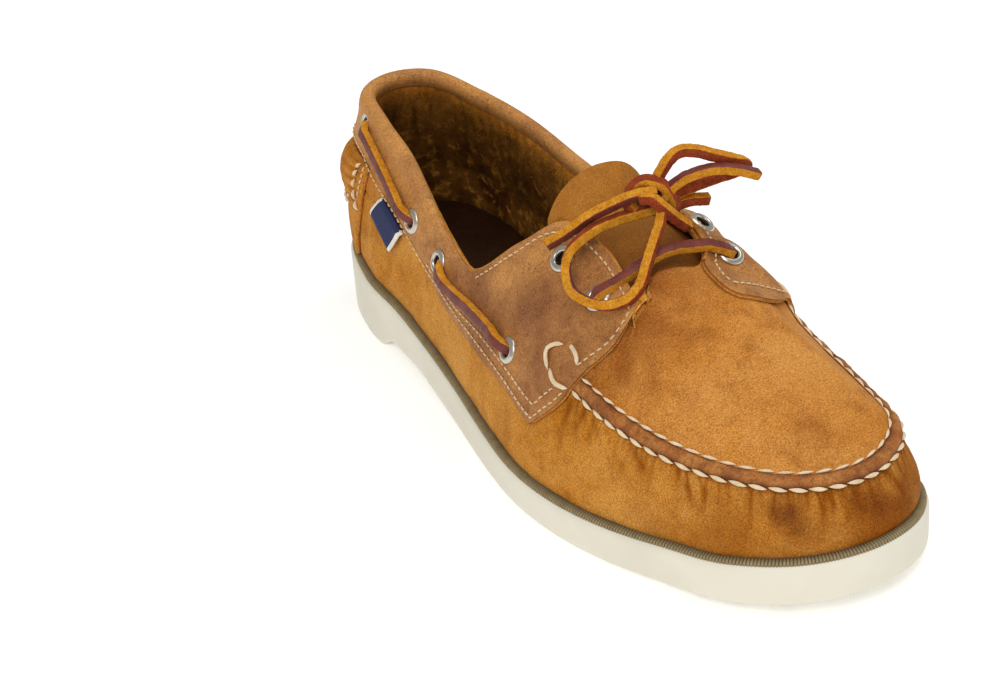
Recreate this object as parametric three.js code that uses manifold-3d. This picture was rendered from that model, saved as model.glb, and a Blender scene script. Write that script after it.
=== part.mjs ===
// Right boat shoe, moccasin built: millimetres, +X outer side, +Y toe, +Z up.
import * as THREE from "three";
import { mergeVertices } from "three/addons/utils/BufferGeometryUtils.js";
import Module from "manifold-3d";

// ---------------------------------------------------------------- driving sizes
const FIT_GAP = 0.3;
const UPPER_WALL = 1.9;
const OVERLAY_INNER = 0.7;
const OVERLAY_THICKNESS = 1.7;
const RIM_SHARE = 0.4; // share of the side-wall height at which the apron seam runs
const HANDLE_SHARE = 0.38; // length of a curve handle against its chord
const FLAP_SHARE = 0.62; // share of a quarter behind its flap
const SPINE_REAR_Y = -105;
const SPINE_FRONT_Y = 85;

const SOLE_SIDE_CHAMFER = 2.0;
const SOLE_BOTTOM_CHAMFER = 1.4;
const HEEL_BREAST_REAR_Y = -97;
const HEEL_BREAST_FRONT_Y = -88;
const ARCH_HEIGHT = 5.0;
const ARCH_FRONT_Y = -60;
const FLAT_FOREFOOT_REAR_Y = 10;
const TOE_SPRING_START_Y = 50;
const TOE_SPRING_RISE = 5.8;
const TOE_SPRING_LENGTH = 100;
const LUG_GROOVE_WIDTH = 1.6;
const LUG_GROOVE_DEPTH = 1.8;
const LUG_MARGIN = 12;
const LUG_ZIGZAG = 2.4;

const WELT_OUTER_INSET = 0.9;
const WELT_THICKNESS = 1.2;
const INSOLE_CLEARANCE = 2.9;
const INSOLE_THICKNESS = 3.0;

const EYELET_HOLE_RADIUS = 3.3;
const EYELET_FLANGE_RADIUS = 4.8;
const EYELET_BARREL_RADIUS = 2.95;
const EYELET_INNER_RADIUS = 2.45;
const EYELET_FLANGE_HEIGHT = 0.8;
const EYELET_SEGMENTS = 9;
const LACE_WIDTH = 3.3;
const LACE_SIDES = 6;
const LACE_STEP = 8;
const LACE_LYING = 6.2; // height of a lace's middle over the upper where it lies on a quarter
const LACE_MOUTH = 5.4; // and where it stops over an eyelet

// ---------------------------------------------------------------- tables
// The last, a row per station round the shoe: from the back of the heel along the outer
// side to the toe and home along the inner side. "out" is the edge of the sole seen from
// above, "margin" how far the upper's foot line lies inside it, "rim" the apron seam (at
// the rear the same height of the wall), "edge" the collar and throat line. The leans are
// the slope of the leather at rim and edge in degrees from upright.
const LAST_COLUMNS = [
  "outX", "outY", "margin", "bulge", "rimX", "rimY", "rimZ",
  "wallLean", "topLean", "edgeX", "edgeY", "edgeZ", "edgeLean",
];
const LAST = {
  heel_back:       [0.8, -149.5, 3.2, 2.0, 0.5, -145.5, 56, 8, 8, 0.0, -136.5, 92.0, 20],
  heel_corner_lat: [23.5, -140.2, 3.2, 2.0, 20.5, -137.5, 56, 8, 8, 13.0, -130.5, 91.5, 20],
  heel_side_lat:   [35.1, -109.8, 3.7, 2.0, 29.0, -110.5, 56, 6, 8, 19.5, -108.0, 88.5, 20],
  waist_rear_lat:  [37.0, -80.0, 4.2, 2.5, 31.0, -80.0, 54, 4, 6, 23.5, -80.0, 82.5, 20],
  waist_lat:       [41.2, -46.0, 3.9, 2.5, 34.0, -46.0, 48, 4, 8, 28.5, -46.0, 65.0, 20],
  instep_rear_lat: [45.0, -22.0, 3.9, 2.0, 38.0, -22.0, 46, 8, 12, 32.0, -21.0, 62.0, 24],
  instep_lat:      [48.6, -4.0, 3.9, 2.0, 40.0, -4.0, 46, 16, 18, 24.5, 1.5, 78.5, 38],
  flap_top_lat:    [51.6, 12.0, 3.9, 2.0, 41.0, 14.0, 47, 22, 24, 15.0, 15.5, 88.2, 58],
  flap_mid_lat:    [53.5, 24.0, 3.9, 2.0, 41.5, 33.0, 49, 24, 28, 13.0, 38.0, 84.8, 62],
  flap_front_lat:  [54.4, 38.0, 3.9, 2.0, 41.0, 55.0, 51.5, 24, 32, 16.5, 60.5, 76.8, 64],
  ball_lat:        [53.2, 58.0, 3.9, 2.0, 41.0, 68.0, 50.0, 20, 40, 13.6, 61.6, 77.5, 64],
  toe_side_lat:    [48.8, 80.0, 3.6, 2.6, 39.8, 82.5, 48.2, 18, 44, 11.4, 57.6, 79.6, 66],
  toe_lat:         [41.4, 102.4, 3.6, 2.6, 36.0, 100.0, 46.2, 18, 48, 8.4, 54.6, 81.2, 70],
  toe_corner_lat:  [33.0, 124.5, 3.6, 2.6, 26.5, 119.0, 44.0, 18, 52, 5.4, 53.2, 82.0, 70],
  toe_front_lat:   [15.5, 142.5, 3.6, 2.6, 11.5, 134.0, 42.4, 18, 56, 2.4, 53.2, 82.0, 70],
  toe_tip:         [-7.5, 149.5, 3.6, 2.6, -7.5, 140.5, 41.8, 16, 58, -0.2, 53.4, 81.9, 70],
  toe_front_med:   [-29.0, 145.0, 3.6, 2.6, -23.5, 137.0, 42.0, 16, 56, -2.8, 53.8, 81.5, 70],
  toe_corner_med:  [-43.5, 131.0, 3.6, 2.6, -35.5, 126.5, 42.6, 16, 52, -5.4, 54.2, 81.0, 70],
  toe_med:         [-49.8, 107.0, 3.6, 2.6, -40.8, 105.0, 44.4, 16, 48, -8.2, 54.4, 80.2, 68],
  toe_side_med:    [-53.0, 82.0, 3.6, 2.6, -42.3, 84.0, 47.2, 18, 42, -11.2, 53.4, 79.6, 66],
  ball_med:        [-53.2, 60.0, 3.9, 2.0, -42.5, 70.0, 50.0, 16, 30, -14.6, 50.6, 79.6, 66],
  flap_front_med:  [-52.0, 43.0, 3.9, 2.0, -42.5, 60.0, 53.0, 12, 12, -17.6, 46.5, 80.4, 66],
  flap_mid_med:    [-49.8, 28.0, 3.9, 2.0, -43.0, 36.0, 53.0, 8, 6, -20.5, 34.0, 84.4, 52],
  flap_top_med:    [-46.4, 12.0, 3.9, 2.0, -39.0, 14.0, 51.0, 12, 12, -17.5, 14.0, 87.6, 62],
  instep_med:      [-42.0, -4.0, 3.9, 2.0, -35.0, -4.0, 48.0, 12, 14, -23.5, -1.0, 82.5, 38],
  instep_rear_med: [-37.8, -22.0, 3.9, 2.0, -31.5, -22.0, 50.0, 8, 12, -27.0, -22.0, 76.0, 24],
  waist_med:       [-35.0, -46.0, 4.2, 2.0, -29.5, -46.0, 54.0, 4, 8, -27.0, -46.0, 78.5, 20],
  waist_rear_med:  [-35.3, -80.0, 4.2, 2.0, -29.5, -80.0, 56.0, 4, 6, -26.0, -80.0, 84.0, 20],
  heel_side_med:   [-37.0, -110.0, 3.7, 2.0, -30.0, -110.0, 56.0, 6, 8, -21.0, -108.0, 88.0, 20],
  heel_corner_med: [-26.3, -139.5, 3.2, 2.0, -22.0, -136.0, 56.0, 8, 8, -13.0, -130.5, 91.5, 20],
};
const STATIONS = Object.values(LAST);
const STATION_COUNT = STATIONS.length;
const SAMPLES_PER_STATION = 2;

// Height of the sole's top edge along the shoe.
const SOLE_TOP = [
  { y: -150, z: 29.4 },
  { y: -105, z: 24.1 },
  { y: -60, z: 19.6 },
  { y: -10, z: 14.8 },
  { y: 40, z: 12.7 },
  { y: 90, z: 14.6 },
  { y: 150, z: 20.8 },
];

// Lower edge of the outer quarter, from its inner-side seam round the heel to the flap.
const LATERAL_QUARTER_LOW = [
  { station: -2.3, height: 0.62 },
  { station: 0.0, height: 0.7 },
  { station: 1.81, height: 0.66 },
  { station: 2.36, height: 0.6 },
  { station: 3.06, height: 0.49 },
  { station: 3.87, height: 0.36 },
  { station: 5.47, height: 0.33 },
  { station: 7.08, height: 0.285 },
  { station: 8.6, height: 0.22 },
];
const LATERAL_FLAP_FRONT = [
  { height: 0.22, station: 8.6 },
  { height: 0.4, station: 8.94 },
  { height: 0.66, station: 9.2 },
  { height: 0.85, station: 9.03 },
  { height: 1.0, station: 8.86 },
];
// The inner quarter runs the other way, so its stations are counted back from the heel.
const MEDIAL_QUARTER_LOW = [
  { station: -2.36, height: 0.62 },
  { station: -3.06, height: 0.52 },
  { station: -3.87, height: 0.42 },
  { station: -5.47, height: 0.36 },
  { station: -7.08, height: 0.3 },
  { station: -8.6, height: 0.24 },
];
const MEDIAL_FLAP_FRONT = [
  { height: 0.24, station: -8.6 },
  { height: 0.4, station: -9.1 },
  { height: 0.55, station: -9.9 },
  { height: 0.7, station: -11.2 },
  { height: 0.8, station: -12.3 },
  { height: 0.88, station: -12.6 },
  { height: 0.94, station: -11.4 },
  { height: 1.0, station: -8.9 },
];

// Eyelets by station round the last and share of the wall's height.
const EYELETS = {
  eyelet_lateral_1: { station: 1.67, height: 0.88 },
  eyelet_lateral_2: { station: 3.34, height: 0.65 },
  eyelet_lateral_3: { station: 4.02, height: 0.655 },
  eyelet_lateral_4: { station: 7.09, height: 0.415 },
  eyelet_lateral_5: { station: 7.46, height: 0.86 },
  eyelet_lateral_6: { station: 8.4, height: 0.85 },
  eyelet_medial_1: { station: 28.33, height: 0.88 },
  eyelet_medial_2: { station: 26.66, height: 0.68 },
  eyelet_medial_3: { station: 25.98, height: 0.655 },
  eyelet_medial_4: { station: 22.91, height: 0.43 },
  eyelet_medial_5: { station: 22.25, height: 0.85 },
  eyelet_medial_6: { station: 20.85, height: 0.86 },
};

// Tongue, a row per crosswise section: its middle and half width, the height there, its
// side slope, and how fast it falls away (round by the square, fall by the fourth power).
const TONGUE = [
  { y: 68, middle: 0, half: 11, crown: 72.5, tilt: 0, round: 0.0215, fall: 0 },
  { y: 60, middle: 0, half: 18, crown: 75.4, tilt: 0, round: 0.0205, fall: 0 },
  { y: 48, middle: -1, half: 23, crown: 79.2, tilt: 0, round: 0.019, fall: 0 },
  { y: 36, middle: -3, half: 23, crown: 83, tilt: 0, round: 0.0165, fall: 5.5e-06 },
  { y: 24, middle: -3, half: 22, crown: 86.4, tilt: 0, round: 0.0175, fall: 9e-06 },
  { y: 17, middle: -1.5, half: 15, crown: 88.4, tilt: 0, round: 0.021, fall: 9e-06 },
  { y: 11, middle: -1, half: 12.5, crown: 90.2, tilt: -0.05, round: 0.02, fall: 1e-05 },
  { y: 6, middle: -2.6, half: 15.5, crown: 92.4, tilt: -0.12, round: 0.012, fall: 2.5e-05 },
  { y: 2, middle: -4.5, half: 19.5, crown: 94, tilt: -0.12, round: 0.01, fall: 3e-05 },
  { y: -1, middle: -6, half: 18, crown: 95.2, tilt: -0.12, round: 0.01, fall: 3e-05 },
  { y: -3, middle: -7, half: 12, crown: 95.8, tilt: -0.12, round: 0.01, fall: 3e-05 },
];
const TONGUE_THICKNESS = 1.9;
const TONGUE_SPANS = 10;

const HEEL_KICKER = { from: -1.5, to: 1.62, low: 0.3, high: 0.625, swell: 5.2, edge: 1.2 };
const HEEL_COUNTER = { from: -1.95, to: 1.85, low: 0.015, high: 0.275, thickness: 1.6 };
const SIDE_TAG = { front: 3.05, rear: 2.48, high: 0.49, drop: 0.13, thickness: 0.7, lift: 2.9 };

// ---------------------------------------------------------------- the last as a function
const column = (name) => LAST_COLUMNS.indexOf(name);

function stationCurve(names) {
  const columns = names.map(column);
  const points = STATIONS.map((row) => new THREE.Vector3(
    row[columns[0]],
    columns.length > 1 ? row[columns[1]] : 0,
    columns.length > 2 ? row[columns[2]] : 0,
  ));
  return new THREE.CatmullRomCurve3(points, true, "centripetal");
}

const OUTLINE = stationCurve(["outX", "outY"]);
const RIM = stationCurve(["rimX", "rimY", "rimZ"]);
const EDGE = stationCurve(["edgeX", "edgeY", "edgeZ"]);
const LEANS = stationCurve(["wallLean", "topLean", "edgeLean"]);
const FULLNESS = stationCurve(["margin", "bulge"]);

const wrap = (u) => ((u % 1) + 1) % 1;

// Smooth height of the sole's top edge at y (cubic between the rows of SOLE_TOP).
function soleTop(y) {
  const last = SOLE_TOP.length - 1;
  const slopeAt = (i) => {
    const a = SOLE_TOP[Math.max(i - 1, 0)];
    const b = SOLE_TOP[Math.min(i + 1, last)];
    return (b.z - a.z) / (b.y - a.y);
  };
  let i = 0;
  while (i < last - 1 && y > SOLE_TOP[i + 1].y) i += 1;
  const span = SOLE_TOP[i + 1].y - SOLE_TOP[i].y;
  const t = (y - SOLE_TOP[i].y) / span;
  const t2 = t * t;
  const t3 = t2 * t;
  return (2 * t3 - 3 * t2 + 1) * SOLE_TOP[i].z + (t3 - 2 * t2 + t) * span * slopeAt(i)
    + (3 * t2 - 2 * t3) * SOLE_TOP[i + 1].z + (t3 - t2) * span * slopeAt(i + 1);
}

// Underside: flat heel, breast, arch, flat forefoot, toe spring.
function soleBottom(y) {
  if (y <= HEEL_BREAST_REAR_Y) return 0;
  if (y <= HEEL_BREAST_FRONT_Y) {
    return ARCH_HEIGHT * (y - HEEL_BREAST_REAR_Y) / (HEEL_BREAST_FRONT_Y - HEEL_BREAST_REAR_Y);
  }
  if (y <= ARCH_FRONT_Y) return ARCH_HEIGHT;
  if (y <= FLAT_FOREFOOT_REAR_Y) {
    const fall = (FLAT_FOREFOOT_REAR_Y - y) / (FLAT_FOREFOOT_REAR_Y - ARCH_FRONT_Y);
    return ARCH_HEIGHT * fall * fall;
  }
  if (y <= TOE_SPRING_START_Y) return 0;
  return TOE_SPRING_RISE * ((y - TOE_SPRING_START_Y) / TOE_SPRING_LENGTH) ** 2;
}

// Point of the sole's outline moved inwards by `inset`.
function insetPoint(u, inset) {
  const step = 1e-3;
  const here = OUTLINE.getPoint(wrap(u));
  const along = OUTLINE.getPoint(wrap(u + step)).sub(OUTLINE.getPoint(wrap(u - step))).normalize();
  return new THREE.Vector2(here.x - along.y * inset, here.y + along.x * inset);
}

function footPoint(u) {
  const p = insetPoint(u, FULLNESS.getPoint(wrap(u)).x);
  return new THREE.Vector3(p.x, p.y, soleTop(p.y) + FIT_GAP);
}

function cubic(a, b, c, d, t) {
  const s = 1 - t;
  return a.clone().multiplyScalar(s * s * s)
    .addScaledVector(b, 3 * s * s * t)
    .addScaledVector(c, 3 * s * t * t)
    .addScaledVector(d, t * t * t);
}

// Outer face of the upper: u once round the shoe, v from the foot line over the apron
// seam (v = RIM_SHARE) to the collar and throat (v = 1).
function upperPoint(u, v) {
  const w = wrap(u);
  const foot = footPoint(w);
  const rim = RIM.getPoint(w);
  const edge = EDGE.getPoint(w);
  const leans = LEANS.getPoint(w).multiplyScalar(Math.PI / 180);
  const bulge = FULLNESS.getPoint(w).y;
  const spineY = Math.min(Math.max(foot.y, SPINE_REAR_Y), SPINE_FRONT_Y);
  const inward = new THREE.Vector3(-foot.x, spineY - foot.y, 0).normalize();
  const leaning = (angle) => inward.clone().multiplyScalar(Math.sin(angle))
    .add(new THREE.Vector3(0, 0, Math.cos(angle)));
  if (v <= RIM_SHARE) {
    const handle = rim.distanceTo(foot) * HANDLE_SHARE;
    const low = foot.clone().addScaledVector(inward, -bulge);
    low.z += handle;
    const high = rim.clone().addScaledVector(leaning(leans.x), -handle);
    return cubic(foot, low, high, rim, v / RIM_SHARE);
  }
  const handle = edge.distanceTo(rim) * HANDLE_SHARE;
  const low = rim.clone().addScaledVector(leaning(leans.y), handle);
  const high = edge.clone().addScaledVector(leaning(leans.z), -handle);
  return cubic(rim, low, high, edge, (v - RIM_SHARE) / (1 - RIM_SHARE));
}

function upperNormal(u, v) {
  const du = 2e-3;
  const dv = 0.02;
  const along = upperPoint(u + du, v).sub(upperPoint(u - du, v));
  const up = upperPoint(u, Math.min(v + dv, 1)).sub(upperPoint(u, Math.max(v - dv, 0)));
  return along.cross(up).normalize();
}

const offsetPoint = (u, v, distance) => upperPoint(u, v)
  .addScaledVector(upperNormal(u, v), distance);

// ---------------------------------------------------------------- mesh helpers
function geometryOf(points, faces) {
  const geometry = new THREE.BufferGeometry();
  const positions = points.flatMap((p) => [p.x, p.y, p.z]);
  geometry.setAttribute("position", new THREE.Float32BufferAttribute(positions, 3));
  geometry.setIndex(faces.flat());
  return geometry;
}

// Two faces per cell of a grid kept as rows of point indices.
function gridFaces(rows, closed) {
  const faces = [];
  const count = rows[0].length;
  const cells = closed ? count : count - 1;
  for (let r = 0; r + 1 < rows.length; r += 1) {
    for (let c = 0; c < cells; c += 1) {
      const n = (c + 1) % count;
      faces.push([rows[r][c], rows[r][n], rows[r + 1][n]]);
      faces.push([rows[r][c], rows[r + 1][n], rows[r + 1][c]]);
    }
  }
  return faces;
}

// A sheet given as a grid of outer points and the matching inner points, closed all round.
function sheetSolid(outer, inner) {
  const rows = outer.length;
  const count = outer[0].length;
  const points = [...outer.flat(), ...inner.flat()];
  const index = (side, r, c) => side * rows * count + r * count + c;
  const grid = (side) => outer.map((row, r) => row.map((_, c) => index(side, r, c)));
  const faces = gridFaces(grid(0), false);
  faces.push(...gridFaces(grid(1), false).map(([a, b, c]) => [a, c, b]));
  const border = [];
  for (let c = 0; c < count - 1; c += 1) border.push([0, c]);
  for (let r = 0; r < rows - 1; r += 1) border.push([r, count - 1]);
  for (let c = count - 1; c > 0; c -= 1) border.push([rows - 1, c]);
  for (let r = rows - 1; r > 0; r -= 1) border.push([r, 0]);
  border.forEach(([r, c], i) => {
    const [nr, nc] = border[(i + 1) % border.length];
    faces.push([index(0, nr, nc), index(0, r, c), index(1, r, c)]);
    faces.push([index(0, nr, nc), index(1, r, c), index(1, nr, nc)]);
  });
  return geometryOf(points, faces);
}

// Rings joined in order; the last ring joins the first, so the solid is a closed hoop.
function hoopSolid(rings) {
  const count = rings[0].length;
  const points = rings.flat();
  const rows = rings.map((ring, r) => ring.map((_, c) => r * count + c));
  return geometryOf(points, gridFaces([...rows, rows[0]], true));
}

// Fills a ring from side to side with crosswise triangles; the ring starts at the heel.
function crossFill(ring, indices, upward) {
  const tip = ring.reduce((best, p, i) => (p.y > ring[best].y ? i : best), 0);
  const left = indices.slice(0, tip + 1);
  const right = [indices[0], ...indices.slice(tip).reverse()];
  const yOf = new Map(indices.map((id, i) => [id, ring[i].y]));
  const faces = [];
  let i = 0;
  let j = 0;
  while (i < left.length - 1 || j < right.length - 1) {
    const goLeft = j === right.length - 1
      || (i < left.length - 1 && yOf.get(left[i + 1]) <= yOf.get(right[j + 1]));
    const face = goLeft ? [left[i], left[i + 1], right[j]] : [left[i], right[j + 1], right[j]];
    if (new Set(face).size === 3) faces.push(upward ? face : [face[0], face[2], face[1]]);
    if (goLeft) i += 1;
    else j += 1;
  }
  return faces;
}

// A stack of rings closed below and above.
function stackSolid(rings) {
  const count = rings[0].length;
  const rows = rings.map((ring, r) => ring.map((_, c) => r * count + c));
  const faces = gridFaces(rows, true);
  faces.push(...crossFill(rings[0], rows[0], false));
  faces.push(...crossFill(rings[rings.length - 1], rows[rows.length - 1], true));
  return geometryOf(rings.flat(), faces);
}

const wasm = await Module();
wasm.setup();

function toManifold(geometry) {
  const bare = new THREE.BufferGeometry();
  bare.setAttribute("position", geometry.getAttribute("position"));
  if (geometry.index) bare.setIndex(geometry.index);
  const merged = mergeVertices(bare, 1e-4);
  return new wasm.Manifold(new wasm.Mesh({
    numProp: 3,
    vertProperties: new Float32Array(merged.attributes.position.array),
    triVerts: new Uint32Array(merged.index.array),
  }));
}

function fromManifold(solid) {
  const mesh = solid.getMesh();
  const geometry = new THREE.BufferGeometry();
  geometry.setAttribute("position", new THREE.BufferAttribute(mesh.vertProperties, 3));
  geometry.setIndex(new THREE.BufferAttribute(mesh.triVerts, 1));
  return geometry;
}

function subtractAll(geometry, cutters) {
  return fromManifold(cutters.reduce((solid, c) => solid.subtract(toManifold(c)), toManifold(geometry)));
}

// ---------------------------------------------------------------- sole, welt, insole
const uniformColumns = () => Array.from(
  { length: STATION_COUNT * SAMPLES_PER_STATION },
  (_, i) => i / (STATION_COUNT * SAMPLES_PER_STATION),
);

// Columns of the outline where the underside changes direction, found on both sides.
function outlineColumnsAt(y) {
  const found = [];
  const steps = 2000;
  for (let i = 0; i < steps; i += 1) {
    const a = OUTLINE.getPoint(i / steps).y;
    const b = OUTLINE.getPoint(wrap((i + 1) / steps)).y;
    if ((a - y) * (b - y) <= 0 && a !== b) found.push((i + (y - a) / (b - a)) / steps);
  }
  return found;
}

function outsoleGeometry() {
  const breaks = [HEEL_BREAST_REAR_Y, HEEL_BREAST_FRONT_Y, ARCH_FRONT_Y].flatMap(outlineColumnsAt);
  const columns = [...uniformColumns(), ...breaks].sort((a, b) => a - b);
  const ring = (inset, height) => columns.map((u) => {
    const p = insetPoint(u, inset);
    const at = OUTLINE.getPoint(wrap(u));
    return new THREE.Vector3(p.x, p.y, height(at.y));
  });
  const body = stackSolid([
    ring(SOLE_BOTTOM_CHAMFER, soleBottom),
    ring(0, (y) => soleBottom(y) + SOLE_BOTTOM_CHAMFER),
    ring(0, (y) => soleTop(y) - SOLE_SIDE_CHAMFER),
    ring(SOLE_SIDE_CHAMFER, soleTop),
  ]);
  return subtractAll(body, lugGrooves());
}

// Wave-shaped grooves across the forefoot and heel.
function lugGrooves() {
  const rows = [-136, -127, -118, -109, 16, 26, 36, 62, 72, 82, 92, 102, 112, 122];
  return rows.map((y) => {
    const reach = (side) => {
      const xs = outlineColumnsAt(y).map((u) => OUTLINE.getPoint(u).x * side);
      return (Math.max(...xs) - LUG_MARGIN) * side;
    };
    const left = reach(-1);
    const right = reach(1);
    const bends = 6;
    const line = Array.from({ length: bends + 1 }, (_, i) => {
      const x = left + (right - left) * (i / bends);
      return new THREE.Vector2(x, y + (i % 2 ? LUG_ZIGZAG : -LUG_ZIGZAG) / 2);
    });
    const half = LUG_GROOVE_WIDTH / 2;
    const shape = new THREE.Shape([
      ...line.map((p) => new THREE.Vector2(p.x, p.y - half)),
      ...line.slice().reverse().map((p) => new THREE.Vector2(p.x, p.y + half)),
    ]);
    const depth = LUG_GROOVE_DEPTH + 1;
    const groove = new THREE.ExtrudeGeometry(shape, { depth, bevelEnabled: false });
    groove.translate(0, 0, soleBottom(y) - 1);
    return groove;
  });
}

function weltGeometry() {
  const columns = uniformColumns();
  const ring = (inset, lift) => columns.map((u) => {
    const p = insetPoint(u, inset(u));
    return new THREE.Vector3(p.x, p.y, soleTop(p.y) + lift);
  });
  const outer = () => WELT_OUTER_INSET;
  const inner = (u) => Math.max(FULLNESS.getPoint(wrap(u)).x - 2 * FIT_GAP, WELT_OUTER_INSET + 0.8);
  return hoopSolid([
    ring(inner, FIT_GAP),
    ring(outer, FIT_GAP),
    ring(outer, FIT_GAP + WELT_THICKNESS * 0.7),
    ring(inner, FIT_GAP + WELT_THICKNESS),
  ]);
}

function insoleGeometry() {
  const columns = uniformColumns();
  const ring = (extra, lift) => columns.map((u) => {
    const p = insetPoint(u, FULLNESS.getPoint(wrap(u)).x + INSOLE_CLEARANCE + extra);
    return new THREE.Vector3(p.x, p.y, soleTop(p.y) + lift);
  });
  return stackSolid([
    ring(0, FIT_GAP),
    ring(0, FIT_GAP + INSOLE_THICKNESS * 0.7),
    ring(1, FIT_GAP + INSOLE_THICKNESS),
  ]);
}

// ---------------------------------------------------------------- upper and overlays
const UPPER_ROWS = [0, 0.13, 0.27, 0.4, 0.52, 0.64, 0.76, 0.86, 0.94, 1.0];

function upperGeometry() {
  const columns = uniformColumns();
  const ring = (v, distance) => columns.map((u) => {
    const p = offsetPoint(u, v, distance);
    if (v === 0) p.z = soleTop(p.y) + FIT_GAP;
    return p;
  });
  const outer = UPPER_ROWS.map((v) => ring(v, 0));
  const inner = UPPER_ROWS.slice().reverse().map((v) => ring(v, -UPPER_WALL));
  return subtractAll(hoopSolid([...outer, ...inner]), Object.values(EYELETS).map(eyeletDrill));
}

function tableAt(table, key, value, at) {
  let i = 0;
  const rising = table[table.length - 1][key] > table[0][key];
  const past = (row) => (rising ? at > row[key] : at < row[key]);
  while (i < table.length - 2 && past(table[i + 1])) i += 1;
  const a = table[i];
  const b = table[i + 1];
  const t = Math.min(Math.max((at - a[key]) / (b[key] - a[key]), 0), 1);
  return a[value] + (b[value] - a[value]) * t;
}

// A quarter is the outer of two forms offset from the upper, kept between its lower edge,
// its seam end and its slanted flap front.
function quarterGeometry(low, front, spans, tiers, gap, names) {
  const seam = low[0].station;
  const corner = low[low.length - 1].station;
  const sample = (distance) => Array.from({ length: tiers + 1 }, (_, t) => (
    Array.from({ length: spans + 1 }, (__, s) => {
      const share = s / spans;
      const bottom = tableAt(low, "station", "height", seam + share * (corner - seam));
      const v = bottom + (1 - bottom) * (t / tiers);
      const end = tableAt(front, "height", "station", v);
      const forward = Math.max(share - FLAP_SHARE, 0) / (1 - FLAP_SHARE);
      const station = seam + share * (corner - seam) + forward * (end - corner);
      return offsetPoint(station / STATION_COUNT, v, distance);
    })));
  const outer = sample(OVERLAY_INNER + OVERLAY_THICKNESS);
  const inner = sample(gap);
  const flip = corner < seam;
  const turned = (grid) => (flip ? grid.map((row) => row.slice().reverse()) : grid);
  return subtractAll(sheetSolid(turned(outer), turned(inner)), names.map((n) => eyeletDrill(EYELETS[n])));
}

const eyeletNames = (side) => Object.keys(EYELETS).filter((name) => name.includes(side));

function lateralQuarterGeometry() {
  return quarterGeometry(LATERAL_QUARTER_LOW, LATERAL_FLAP_FRONT, 32, 6, OVERLAY_INNER, eyeletNames("lateral").concat("eyelet_medial_1"));
}

function medialQuarterGeometry() {
  return quarterGeometry(MEDIAL_QUARTER_LOW, MEDIAL_FLAP_FRONT, 28, 7, OVERLAY_INNER + 0.8, eyeletNames("medial").slice(1));
}

// Gathered pad at the heel: thin at its edges and swollen in the middle.
function kickerGeometry() {
  const spans = 12;
  const tiers = 5;
  const k = HEEL_KICKER;
  const grid = (outside) => Array.from({ length: tiers + 1 }, (_, t) => (
    Array.from({ length: spans + 1 }, (__, s) => {
      const round = Math.sin(Math.PI * (t / tiers)) ** 0.6 * Math.sin(Math.PI * (s / spans)) ** 0.3;
      const lift = OVERLAY_INNER + (outside ? k.edge + k.swell * round : 0);
      const u = (k.from + (k.to - k.from) * (s / spans)) / STATION_COUNT;
      return offsetPoint(u, k.low + (k.high - k.low) * (t / tiers), lift);
    })));
  return sheetSolid(grid(true), grid(false));
}

function counterGeometry() {
  const spans = 14;
  const tiers = 2;
  const c = HEEL_COUNTER;
  const grid = (lift) => Array.from({ length: tiers + 1 }, (_, t) => (
    Array.from({ length: spans + 1 }, (__, s) => {
      const u = (c.from + (c.to - c.from) * (s / spans)) / STATION_COUNT;
      const p = offsetPoint(u, c.low + (c.high - c.low) * (t / tiers), lift);
      if (t === 0) p.z = Math.max(p.z, soleTop(p.y) + 2 * FIT_GAP + WELT_THICKNESS);
      return p;
    })));
  return sheetSolid(grid(OVERLAY_INNER + c.thickness), grid(OVERLAY_INNER));
}

// Folded cloth tape that hangs from the lower seam of the outer quarter.
function tagGeometry() {
  const g = SIDE_TAG;
  const grid = (lift) => [g.high - g.drop, g.high].map((v) => [g.rear, g.front].map((station) => {
    const rise = (station - g.rear) * -0.2;
    return offsetPoint(station / STATION_COUNT, v + rise, lift);
  }));
  return sheetSolid(grid(g.lift + g.thickness), grid(g.lift));
}

function tongueGeometry() {
  const grid = (drop) => TONGUE.map((row) => Array.from({ length: TONGUE_SPANS + 1 }, (_, i) => {
    const x = row.half * (1 - 2 * (i / TONGUE_SPANS));
    const z = row.crown + row.tilt * x - row.round * x ** 2 - row.fall * x ** 4 - drop;
    return new THREE.Vector3(row.middle + x, row.y, z);
  }));
  return sheetSolid(grid(0), grid(TONGUE_THICKNESS));
}

// ---------------------------------------------------------------- eyelets
function eyeletFrame({ station, height }, distance) {
  const u = station / STATION_COUNT;
  const normal = upperNormal(u, height);
  const turn = new THREE.Quaternion().setFromUnitVectors(new THREE.Vector3(0, 1, 0), normal);
  const matrix = new THREE.Matrix4();
  matrix.compose(offsetPoint(u, height, distance), turn, new THREE.Vector3(1, 1, 1));
  return matrix;
}

function eyeletDrill(place) {
  const reach = 14;
  const drill = new THREE.CylinderGeometry(EYELET_HOLE_RADIUS, EYELET_HOLE_RADIUS, reach, EYELET_SEGMENTS);
  return drill.applyMatrix4(eyeletFrame(place, 0));
}

function eyeletGeometry(place) {
  const base = OVERLAY_INNER + OVERLAY_THICKNESS + 2 * FIT_GAP;
  const inner = -(base + 0.4);
  const profile = [
    [EYELET_INNER_RADIUS, inner],
    [EYELET_BARREL_RADIUS, inner],
    [EYELET_BARREL_RADIUS, 0],
    [EYELET_FLANGE_RADIUS, 0],
    [EYELET_FLANGE_RADIUS - 0.7, EYELET_FLANGE_HEIGHT],
    [EYELET_INNER_RADIUS + 0.4, EYELET_FLANGE_HEIGHT],
    [EYELET_INNER_RADIUS, inner],
  ].map(([r, y]) => new THREE.Vector2(r, y));
  return new THREE.LatheGeometry(profile, EYELET_SEGMENTS).applyMatrix4(eyeletFrame(place, base));
}

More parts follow.
